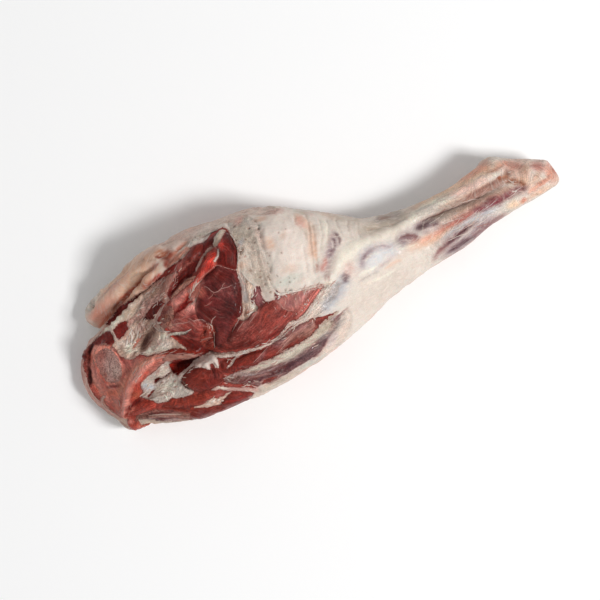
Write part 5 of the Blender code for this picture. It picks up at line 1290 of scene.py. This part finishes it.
class Strands:
    """Many thin tapering strands and flakes that lie on the leg, gathered into one mesh."""

    SIDES = 6
    # a strand is left out if the leg drops further than this between two of its places,
    # or if a normal under it points upward less than this
    LONGEST_DROP = 9
    LEAST_UPWARD = 0.15

    def __init__(self, tree):
        self.tree = tree
        self.points, self.faces, self.colours = [], [], []

    def height(self, x, y):
        """(place, normal) of the leg under a place of the tables, or None beside the leg."""
        start = MIDDLE + Vector((x, y, 0)) * MM
        start.z = 3 * LEG_HIGH.z
        place, normal, _, _ = self.tree.ray_cast(start, Vector((0, 0, -1)))
        return None if place is None else (place, normal)

    def lay(self, line, width, lift, colour, flat=0.55):
        """One strand along a line of (x, y), half sunk at its ends and lifted in its middle."""
        found = [self.height(x, y) for x, y in line]
        if None in found:
            return
        places = np.array([place for place, _ in found])
        normals = np.array([normal for _, normal in found])
        drop = np.abs(np.diff(places[:, 2])).max() / MM
        if drop > self.LONGEST_DROP or normals[:, 2].min() < self.LEAST_UPWARD:
            return
        run = np.gradient(places, axis=0)
        run /= np.linalg.norm(run, axis=1)[:, None] + 1e-12
        side = np.cross(run, normals)
        side /= np.linalg.norm(side, axis=1)[:, None] + 1e-12
        along = np.linspace(0, 1, len(line))
        arch = np.sin(np.pi * along)
        girth = width / 2 * (0.35 + 0.65 * np.sqrt(arch)) * MM
        centre = places + normals * ((lift * arch)[:, None] * MM - girth[:, None] * flat * 0.3)
        turn = 2 * math.pi * np.arange(self.SIDES) / self.SIDES
        ring = (
            side[:, None] * np.cos(turn)[:, None] * girth[:, None, None]
            + normals[:, None] * np.sin(turn)[:, None] * girth[:, None, None] * flat
        )
        start = len(self.points)
        self.points.extend((centre[:, None] + ring).reshape(-1, 3))
        self.points.extend((centre[0] - run[0] * girth[0], centre[-1] + run[-1] * girth[-1]))
        tail = start + len(line) * self.SIDES
        for i, j in itertools.product(range(len(line) - 1), range(self.SIDES)):
            a, b = start + i * self.SIDES, (j + 1) % self.SIDES
            self.faces.append((a + j, a + b, a + self.SIDES + b, a + self.SIDES + j))
        for j in range(self.SIDES):
            b = (j + 1) % self.SIDES
            self.faces.append((start + b, start + j, tail))
            self.faces.append((tail - self.SIDES + j, tail - self.SIDES + b, tail + 1))
        self.colours.extend([tone(colour)] * (tail + 2 - start))

    def mesh(self, name):
        made = bpy.data.meshes.new(name)
        made.from_pydata([tuple(p) for p in self.points], [], self.faces)
        made.validate()
        set_colour(made, "tint", np.array(self.colours))
        bm = bmesh.new()
        bm.from_mesh(made)
        bmesh.ops.recalc_face_normals(bm, faces=bm.faces)
        bm.to_mesh(made)
        bm.free()
        return made


# ---- materials ------------------------------------------------------------------------


class Wire:
    """A socket's value on its way through a material, which Python's operators combine."""

    def __init__(self, paints, socket):
        self.paints = paints
        self.socket = socket

    def work(self, operation, a, b):
        sockets = [w.socket for w in (a, b) if isinstance(w, Wire)]
        many = any(s.type in ("RGBA", "VECTOR") for s in sockets) or tuple in (type(a), type(b))
        kind = "ShaderNodeVectorMath" if many else "ShaderNodeMath"
        return self.paints.node(kind, {0: a, 1: b}, operation=operation)

    def __add__(self, other):
        return self.work("ADD", self, other)

    def __radd__(self, other):
        return self.work("ADD", other, self)

    def __sub__(self, other):
        return self.work("SUBTRACT", self, other)

    def __rsub__(self, other):
        return self.work("SUBTRACT", other, self)

    def __mul__(self, other):
        return self.work("MULTIPLY", self, other)

    def __rmul__(self, other):
        return self.work("MULTIPLY", other, self)

    def step(self, low, high, to_low=0.0, to_high=1.0):
        """From to_low to to_high, softly, as this value goes from low to high."""
        return self.paints.node(
            "ShaderNodeMapRange",
            {"Value": self, "From Min": low, "From Max": high, "To Min": to_low, "To Max": to_high},
            interpolation_type="SMOOTHSTEP",
        )

    def mix(self, other, share):
        """This colour giving way to another."""
        return self.paints.node("ShaderNodeMix", {0: share, 6: self, 7: other}, output=2, data_type="RGBA")


class Paints:
    """One material's nodes, ending in a Principled surface."""

    def __init__(self, name, **surface):
        self.material = bpy.data.materials.new(name)
        self.material.use_nodes = True
        self.tree = self.material.node_tree
        self.surface = self.tree.nodes["Principled BSDF"]
        for socket, value in surface.items():
            self.surface.inputs[socket.replace("_", " ")].default_value = value

    def feed(self, socket, value):
        if isinstance(value, Wire):
            self.tree.links.new(value.socket, socket)
        elif socket.type == "VALUE":
            socket.default_value = value
        else:
            plain = tuple(value) if isinstance(value, (tuple, list)) else (value,) * 3
            socket.default_value = plain + (1.0,) * (len(socket.default_value) - len(plain))

    def node(self, kind, inputs=None, output=0, **settings):
        made = self.tree.nodes.new(kind)
        for name, value in settings.items():
            setattr(made, name, value)
        for key, value in (inputs or {}).items():
            self.feed(made.inputs[key], value)
        return Wire(self, made.outputs[output])

    def value(self, name):
        return self.node("ShaderNodeAttribute", output=2, attribute_name=name)

    def vector(self, name):
        return self.node("ShaderNodeAttribute", output=1, attribute_name=name)

    def colour(self, name):
        return self.node("ShaderNodeAttribute", output=0, attribute_name=name)

    def place(self):
        """Where the surface is, in table units."""
        return self.node("ShaderNodeTexCoord", output=3) * (1 / MM, 1 / MM, 1 / MM)

    def noise(self, at, scale=1.0, detail=3.0, rough=0.55, warp=0.0):
        return self.node(
            "ShaderNodeTexNoise",
            {"Vector": at, "Scale": scale, "Detail": detail, "Roughness": rough, "Distortion": warp},
        )

    def cells(self, at, scale, feature="F1"):
        return self.node("ShaderNodeTexVoronoi", {"Vector": at, "Scale": scale}, feature=feature)

    def ridge(self, noise, width):
        """1 along the thin winding lines where a noise is at its middle, and 0 away from them."""
        off = noise - 0.5
        return (off * off).step(0.0, width * width, 1.0, 0.0)

    def finish(self, colour, roughness, height, depth, wet):
        """Feeds the surface; depth is how deep the fine relief is, in table units."""
        self.feed(self.surface.inputs["Base Color"], colour)
        self.feed(self.surface.inputs["Roughness"], roughness)
        self.feed(self.surface.inputs["Coat Weight"], wet)
        bump = self.node("ShaderNodeBump", {"Height": height, "Strength": 1.0, "Distance": depth * MM})
        self.feed(self.surface.inputs["Normal"], bump)
        return self.material


def flesh_material():
    """Muscle fibres and fat, told apart by the distance painted on the skin."""
    p = Paints(
        "flesh", Subsurface_Weight=0.1, Subsurface_Radius=(1.0, 0.35, 0.22), Subsurface_Scale=0.0025,
        Coat_Roughness=0.12, IOR=1.4, Specular_IOR_Level=0.16,
    )
    at = p.place()
    strings = p.value("strings")
    shadow = p.value("shadow")
    wander = p.noise(at, 0.06, 2.0) - 0.5
    waved = p.vector("grain") + p.node("ShaderNodeCombineXYZ", {1: wander * 3.0})
    bundle = p.noise(waved * (0.035, 0.42, 0.25), 1.0, 3.0, 0.6)
    strand = p.noise(waved * (0.09, 1.3, 0.6), 1.0, 3.0, 0.65)
    thread = p.noise(waved * (0.22, 3.2, 1.4), 1.0, 2.0, 0.6)
    fine = p.noise(at, 0.8, 4.0, 0.65)
    lump = p.noise(at, 0.2, 4.0, 0.6)
    patch = p.noise(at, 0.07, 3.0, 0.6)
    # muscle
    fibre = bundle * 0.4 + strand * 0.38 + thread * 0.22
    stringy = strings * strings
    meat = p.colour("meat_colour") * (1.04, 0.82, 0.84)
    sleek = p.value("sleek")
    lively = 1.0 - sleek * 0.5
    lit = meat * (1.0 + fibre.step(0.34, 0.66, -0.4, 0.4) * lively)
    lit = lit * (1.0 + fine.step(0.33, 0.67, -0.32, 0.36) * lively)
    cloud = p.noise(waved * (0.14, 0.34, 0.3), 1.0, 4.0, 0.62, 0.4)
    lit = lit * (1.0 + cloud.step(0.36, 0.64, -0.26, 0.22) * (sleek * 0.7 + 0.3))
    lit = lit.mix(shade("clay"), p.noise(at, 0.12, 3.0, 0.6).step(0.46, 0.64, 0.0, 0.4) * sleek)
    bloody = lit.mix(shade("black red"), lump.step(0.54, 0.72, 0.0, 0.45) * lively)
    gaps = p.ridge(bundle, 0.035) * patch.step(0.4, 0.6, 0.15, 0.5) * lively
    split = bloody.mix(shade("black red"), gaps)
    thread_line = p.noise(waved * (0.045, 0.55, 0.35), 1.0, 4.0, 0.62, 0.3).step(0.57, 0.69)
    sheen = p.noise(waved * (0.03, 0.3, 0.2), 1.0, 5.0, 0.65, 0.5).step(0.5, 0.72)
    muscle = split.mix(shade("rose"), thread_line * stringy * 0.6 + thread_line * 0.05)
    muscle = muscle.mix(shade("old rose"), sheen * (stringy * 0.36 + 0.01))
    # fat
    cream = p.colour("fat_colour")
    streak = p.noise(waved * (0.02, 0.42, 0.34), 1.0, 4.0, 0.62, 0.15)
    cord = p.noise(waved * (0.05, 0.95, 0.8), 1.0, 3.0, 0.6)
    tangle = streak * 0.6 + cord * 0.4
    streaked = cream * (1.0 + strings * tangle.step(0.36, 0.64, -0.34, 0.26))
    gapped = streaked.mix(shade("rosy meat"), tangle.step(0.33, 0.45, 0.7, 0.0) * stringy)
    uneven = (lump * 0.6 + fine * 0.4).step(0.3, 0.7, -0.5, 0.3)
    grains = fine.step(0.34, 0.66, -0.22, 0.18)
    mottled = gapped * (1.0 + uneven * (strings * 0.34 + 0.05) + grains * (strings + 0.05))
    blush = patch.step(0.56, 0.74, 0.0, 0.1)
    vein = p.ridge(p.noise(at, 0.075, 4.0, 0.6, 0.6), 0.012) * 0.14
    veil = p.noise(waved * (0.07, 0.3, 0.3), 1.0, 5.0, 0.65, 0.3).step(0.48, 0.66, 0.0, 0.5)
    fat_tint = mottled.mix(shade("rose"), blush).mix(shade("old rose"), vein)
    fat_tint = fat_tint.mix(shade("cream white"), veil * (1.0 - strings * 0.8))
    crumbs = p.noise(at, 0.55, 2.0, 0.5).step(0.66, 0.76, 0.0, 0.5)
    fat_tint = fat_tint.mix(shade("taupe"), crumbs * strings)
    # where they meet
    ragged = p.value("fat") + (p.noise(at, 0.42, 3.0, 0.6) - 0.5) * 1.8 + (fine - 0.5) * 1.6
    ragged = ragged + (strand - 0.5) * (1.2 + strings * 2.2)
    covered = ragged.step(-0.3, 0.3)
    edged = fat_tint.mix(shade("skin pink"), ragged.step(0.2, 2.2, 0.34, 0.0))
    rim = p.value("edge") + (fine - 0.5) * 1.6
    seam = rim.step(0.1, 1.2, 0.34, 0.0) * p.noise(at, 0.13, 3.0).step(0.42, 0.6)
    colour = muscle.mix(shade("black red"), seam).mix(edged, covered)
    dark = shadow * fine.step(0.2, 0.8, 1.1, 0.7)
    colour = colour * (1.0 - dark * (0.72, 0.86, 0.9))
    roughness = covered * 0.06 + lump.step(0.3, 0.7, 0.36, 0.5) + (strand - 0.5) * 0.12
    height = (fibre * 1.1 + fine * 0.3) * (1 - covered) * lively
    rough = lump * 0.2 + fine * 0.03 + (lump * 0.8 + fine * 0.7 + tangle * 1.4) * strings
    height = height + rough * covered + ragged.step(-0.6, 0.6) * 0.5
    wet = p.noise(at, 0.16, 4.0, 0.6).step(0.5, 0.68, 0.0, 0.6) * (1.0 - covered * (0.85 - strings * 0.8))
    return p.finish(colour, roughness, height, 0.95, wet)


def bone_material(name, pitted, speck):
    """Sawn spongy bone: painted ground with walls and small marrow cells."""
    p = Paints(
        name, Subsurface_Weight=0.06, Subsurface_Scale=0.002, Coat_Roughness=0.25, Specular_IOR_Level=0.25,
    )
    at = p.place()
    cell = p.cells(at, 0.72)
    fine = p.noise(at, 0.9, 4.0, 0.7)
    lump = p.noise(at, 0.22, 4.0, 0.6)
    hollow = (cell + (fine - 0.5) * 0.6).step(0.26, 0.46, 1.0, 0.0)
    rim = p.value("edge").step(0.0, 2.4, 0.0, 1.0)
    base = p.colour("bone_colour") * fine.step(0.32, 0.68, 0.66, 1.36) * lump.step(0.3, 0.7, 0.84, 1.12)
    colour = base.mix(speck, hollow * pitted * rim)
    roughness = fine.step(0.2, 0.8, 0.42, 0.66)
    height = hollow * -0.6 + fine * 0.9 + lump * 0.5
    return p.finish(colour, roughness, height, 1.0, lump.step(0.45, 0.65, 0.0, 0.3))


def sinew_material(name):
    """Wet connective tissue in the strands' own colours."""
    p = Paints(
        name, Subsurface_Weight=0.15, Subsurface_Radius=(1.0, 0.4, 0.3), Subsurface_Scale=0.002,
        Coat_Roughness=0.15, Specular_IOR_Level=0.3,
    )
    at = p.place()
    fine = p.noise(at, 1.1, 4.0, 0.65)
    patch = p.noise(at, 0.2, 3.0)
    tint = p.colour("tint") * fine.step(0.25, 0.75, 0.8, 1.1)
    colour = tint.mix(shade("old rose"), patch.step(0.5, 0.75, 0.0, 0.45))
    return p.finish(colour, fine.step(0.2, 0.8, 0.3, 0.5), fine, 0.4, patch.step(0.4, 0.6, 0.05, 0.45))


# ---- settings -------------------------------------------------------------------------


class LambFlesh(bpy.types.PropertyGroup):
    cell: FloatProperty(
        name="Cell", description="Size of the cells of the leg's skin", default=1.21 * MM, unit="LENGTH",
    )
    rounds: IntProperty(name="Rounds", description="How often the skin is softened", default=12)
    share: FloatProperty(
        name="Share", description="Share of the skin's faces that is kept", default=0.66, subtype="FACTOR",
    )


class LambBones(bpy.types.PropertyGroup):
    cell: FloatProperty(
        name="Cell", description="Size of the cells of the bones' faces", default=0.7 * MM, unit="LENGTH",
    )
    pits: FloatProperty(
        name="Pits", description="Depth of the pits in the sawn faces", default=0.8 * MM, unit="LENGTH",
    )


class LambStrands(bpy.types.PropertyGroup):
    seed: IntProperty(name="Seed", description="Which of the random scatters of shreds is used", default=5)
    girth: FloatProperty(name="Girth", description="How much wider the strands are than usual", default=1.0)


class LambStage(bpy.types.PropertyGroup):
    floor_colour: FloatVectorProperty(
        name="Floor", description="Colour of the floor", default=(0.98, 0.98, 0.98),
        subtype="COLOR", min=0, max=1,
    )
    key_power: FloatProperty(name="Key", description="Power of the main light", default=122.0, unit="POWER")
    sky: FloatProperty(name="Sky", description="Strength of the light from all around", default=0.37)


def settings(name):
    return getattr(bpy.context.scene, name)


# ---- operators ------------------------------------------------------------------------


class LAMB_OT_flesh(bpy.types.Operator):
    """Builds the leg's skin with its muscles and fat"""

    bl_idname = "lamb.flesh"
    bl_label = "Flesh"

    def execute(self, context):
        wanted = settings("lamb_flesh")
        mesh = fine_copy(["leg", "hip_bone", "pubic_bone"], wanted.cell / MM, wanted.rounds)
        dress_skin(mesh)
        obj = show("flesh", mesh, flesh_material(), ["leg"])
        thin = obj.modifiers.new("fewer faces", "DECIMATE")
        thin.ratio = wanted.share
        return {"FINISHED"}


class LAMB_OT_bones(bpy.types.Operator):
    """Builds the two sawn bone faces"""

    bl_idname = "lamb.bones"
    bl_label = "Sawn bones"

    BORDER = "clay"
    SOFTENING = 3
    # node: (ground colour, how pitted it is, colour of the marrow, stains as in the leg's own tables)
    LOOKS = {
        "hip_bone": ("skin pink", 0.6, shade("rosy meat"), [
            (-229, 6, 7, 16, -10, "old rose", 0.8), (-224, 11, 7, 5, 20, "brick", 0.5),
            (-219, -5, 11, 9, 80, "dusty pink", 0.8), (-217, -11, 6, 5, 40, "beige", 0.5),
            (-233, -6, 4, 12, 5, "clay", 0.7), (-225, -21, 8, 3.0, -16, "rosy meat", 0.9),
            (-214, -18, 5, 4, 40, "clay", 0.7), (-208.6, 4, 2.4, 14, 10, "rosy meat", 0.7),
            (-231, 12.6, 7, 1.2, 18, "coral", 0.7), (-229, -9, 2, 3, 0, "red", 0.5),
        ]),
        "pubic_bone": ("clay", 0.75, shade("wine"), [
            (-151, 23, 8, 4, 40, "rosy meat", 0.85), (-161, 13, 3, 5, -40, "cream", 0.9),
            (-142, 16, 5, 6, 30, "salmon", 0.95), (-150, 11.4, 7, 3, 10, "apricot", 0.8),
            (-146, 25, 6, 3, 30, "rosy meat", 0.6), (-150, 19, 3, 2, 30, "tan", 0.6),
        ]),
    }

    def execute(self, context):
        wanted = settings("lamb_bones")
        for node, (ground_colour, pitted, marrow, stains) in self.LOOKS.items():
            mesh = fine_copy([node], wanted.cell / MM, self.SOFTENING)
            skin = Skin(mesh)
            place = skin.place[:, :2]
            middle = (place.min(axis=0) + place.max(axis=0)) / 2
            half = (place.max(axis=0) - place.min(axis=0)) / 2
            skin.edge = (1 - np.hypot(*((place - middle) / half).T)) * half.min()
            skin.cream[:] = tone(ground_colour)
            for stain in stains:
                skin.stain(*stain, FAT)
            border = np.tile(tone(self.BORDER), (len(skin.cream), 1))
            skin.cream = blend(border, skin.cream, soft_step(skin.edge, -0.5, 4))
            pits = lumps(skin.place, 2.4, 21, 3) + 0.6 * lumps(skin.place, 6, 22, 2)
            sides = soft_step(1 - np.abs(skin.normal[:, 2]), 0.1, 0.9)
            ragged = 0.8 + 1.4 * lumps(skin.place, 7, 23, 2)
            move_out(mesh, skin.normal, -0.2 + pits * wanted.pits / MM * 0.5 * (1 - sides) + ragged * sides)
            set_values(mesh, "edge", "FLOAT", skin.edge)
            set_colour(mesh, "bone_colour", skin.cream)
            show(node + "_face", mesh, bone_material(node, pitted, marrow), [node])
        return {"FINISHED"}


class LAMB_OT_threads(bpy.types.Operator):
    """Lays the webs, cords and vessel ends of sinew on the leg"""

    bl_idname = "lamb.threads"
    bl_label = "Threads of sinew"

    # how far a thread's places wander to either side
    WANDER = 0.25

    def execute(self, context):
        wanted = settings("lamb_strands")
        strands = Strands(ground())
        draw = random.Random(wanted.seed)
        for width, lift, colour, *points in (*SEAM_THREADS, *WEBS, *EDGE_THREADS):
            line = smooth_line(points, 6)
            w = self.WANDER
            line = line + np.array([(draw.uniform(-w, w), draw.uniform(-w, w)) for _ in line])
            strands.lay(line, width * wanted.girth, lift, colour)
        for x, y, radius, thickness, colour in VESSELS:
            turns = np.linspace(0, 1.9 * math.pi, 14) + draw.uniform(0, 6)
            ring = np.stack([x + radius * np.cos(turns), y + radius * 0.85 * np.sin(turns)], axis=1)
            strands.lay(ring, thickness * 2 * wanted.girth, 0.5, colour, 0.9)
        show("sinew_threads", strands.mesh("sinew_threads"), sinew_material("sinew"))
        return {"FINISHED"}


class LAMB_OT_shreds(bpy.types.Operator):
    """Scatters the loose shreds of fat and membrane"""

    bl_idname = "lamb.shreds"
    bl_label = "Shreds"

    STEPS = 6

    def execute(self, context):
        wanted = settings("lamb_strands")
        strands = Strands(ground())
        draw = random.Random(wanted.seed)
        for count, x, y, half_length, half_width, turn, way, wander, length, width, lift, colours in SHREDS:
            c, s = math.cos(math.radians(turn)), math.sin(math.radians(turn))
            for _ in range(count):
                along, across = draw.gauss(0, 0.5) * half_length, draw.gauss(0, 0.5) * half_width
                here = np.array((x + along * c - across * s, y + along * s + across * c))
                heading = math.radians(way + draw.gauss(0, 0.5) * wander)
                reach = length * draw.uniform(0.4, 1.3)
                bend = draw.gauss(0, 0.5) / self.STEPS
                line = [here]
                for _ in range(self.STEPS):
                    way_on = np.array((math.cos(heading), math.sin(heading)))
                    line.append(line[-1] + way_on * reach / self.STEPS)
                    heading += bend
                thick = width * draw.uniform(0.5, 1.5) * wanted.girth
                strands.lay(line, thick, lift * draw.uniform(0, 1.4), draw.choice(colours))
        show("shreds", strands.mesh("shreds"), sinew_material("shreds"))
        return {"FINISHED"}


class LAMB_OT_flakes(bpy.types.Operator):
    """Lays the torn flakes at the edges of the fat cap and in the cavities"""

    bl_idname = "lamb.flakes"
    bl_label = "Flakes"

    def execute(self, context):
        wanted = settings("lamb_strands")
        strands = Strands(ground())
        for colour, width, lift, *points in FLAKES:
            strands.lay(smooth_line(points, 6), width * wanted.girth, lift, colour, 0.3)
        show("flakes", strands.mesh("flakes"), sinew_material("flakes"))
        return {"FINISHED"}


class LAMB_OT_stage(bpy.types.Operator):
    """Sets the floor, the lights and the camera"""

    bl_idname = "lamb.stage"
    bl_label = "Stage"

    # metres
    FLOOR_HALF = 6
    FLOOR_BELOW = 0.0005
    # name: (azimuth and elevation in degrees, distance and size in metres, share of the key's power)
    LAMPS = {"key": (-36, 50, 4.0, 1.0, 1.0), "fill": (130, 60, 4.0, 2.4, 0.09)}
    # table units: the place the camera is over, how far it is above the level where its view is
    # FRAME_WIDTH wide, and that level
    CAMERA_OVER = (-26.6, -19.1, 0)
    CAMERA_HEIGHT = 3000
    FRAME_LEVEL = 50
    FRAME_WIDTH = 580.6
    SENSOR = 36
    TURN = -24

    def execute(self, context):
        wanted = settings("lamb_stage")
        self.floor(wanted)
        self.lights(wanted)
        self.camera()
        return {"FINISHED"}

    def floor(self, wanted):
        bm = bmesh.new()
        bmesh.ops.create_grid(bm, x_segments=1, y_segments=1, size=self.FLOOR_HALF)
        mesh = bpy.data.meshes.new("floor")
        bm.to_mesh(mesh)
        bm.free()
        material = bpy.data.materials.new("floor")
        material.use_nodes = True
        surface = material.node_tree.nodes["Principled BSDF"]
        surface.inputs["Base Color"].default_value = (*wanted.floor_colour, 1)
        surface.inputs["Roughness"].default_value = 0.9
        surface.inputs["Specular IOR Level"].default_value = 0.1
        mesh.materials.append(material)
        floor = bpy.data.objects.new("floor", mesh)
        floor.location.z = LEG_LOW.z - self.FLOOR_BELOW
        bpy.context.scene.collection.objects.link(floor)

    def lights(self, wanted):
        world = bpy.data.worlds.new("studio")
        world.use_nodes = True
        world.node_tree.nodes["Background"].inputs["Color"].default_value = (1, 1, 1, 1)
        world.node_tree.nodes["Background"].inputs["Strength"].default_value = wanted.sky
        bpy.context.scene.world = world
        for name, (azimuth, elevation, distance, size, share) in self.LAMPS.items():
            lamp = bpy.data.lights.new(name, "AREA")
            lamp.energy = wanted.key_power * share
            lamp.size = size
            obj = bpy.data.objects.new(name, lamp)
            a, e = math.radians(azimuth), math.radians(elevation)
            way = Vector((math.cos(a) * math.cos(e), math.sin(a) * math.cos(e), math.sin(e)))
            obj.location = MIDDLE + way * distance
            obj.rotation_euler = way.to_track_quat("Z", "Y").to_euler()
            bpy.context.scene.collection.objects.link(obj)

    def camera(self):
        """Looks straight down from so far that heights hardly spread, with the shank up to the right."""
        camera = bpy.data.cameras.new("camera")
        camera.lens = self.SENSOR * self.CAMERA_HEIGHT / self.FRAME_WIDTH
        camera.sensor_width = self.SENSOR
        obj = bpy.data.objects.new("camera", camera)
        aim = MIDDLE + Vector(self.CAMERA_OVER) * MM
        obj.location = (aim.x, aim.y, LEG_LOW.z + (self.CAMERA_HEIGHT + self.FRAME_LEVEL) * MM)
        obj.rotation_euler.z = math.radians(self.TURN)
        bpy.context.scene.collection.objects.link(obj)
        bpy.context.scene.camera = obj


class LAMB_PT_panel(bpy.types.Panel):
    """Lists the leg's settings and operators"""

    bl_idname = "LAMB_PT_panel"
    bl_label = "Raw leg of lamb"
    bl_space_type = "VIEW_3D"
    bl_region_type = "UI"
    bl_category = "Lamb"

    def draw(self, context):
        for group in SETTINGS:
            box = self.layout.box()
            for name in SETTINGS[group].__annotations__:
                box.prop(getattr(context.scene, group), name)
        for operator in OPERATORS:
            self.layout.operator(operator.bl_idname)


OPERATORS = (LAMB_OT_flesh, LAMB_OT_bones, LAMB_OT_threads, LAMB_OT_shreds, LAMB_OT_flakes, LAMB_OT_stage)
SETTINGS = {
    "lamb_flesh": LambFlesh, "lamb_bones": LambBones, "lamb_strands": LambStrands, "lamb_stage": LambStage,
}
CLASSES = (*SETTINGS.values(), *OPERATORS, LAMB_PT_panel)


def register():
    for made in CLASSES:
        bpy.utils.register_class(made)
    for name, group in SETTINGS.items():
        setattr(bpy.types.Scene, name, PointerProperty(type=group))


def unregister():
    for name in SETTINGS:
        delattr(bpy.types.Scene, name)
    for made in reversed(CLASSES):
        bpy.utils.unregister_class(made)


def main():
    register()
    bpy.context.scene.view_settings.view_transform = "Standard"
    bpy.ops.lamb.flesh()
    bpy.ops.lamb.bones()
    bpy.ops.lamb.threads()
    bpy.ops.lamb.shreds()
    bpy.ops.lamb.flakes()
    bpy.ops.lamb.stage()


if __name__ == "__main__":
    main()
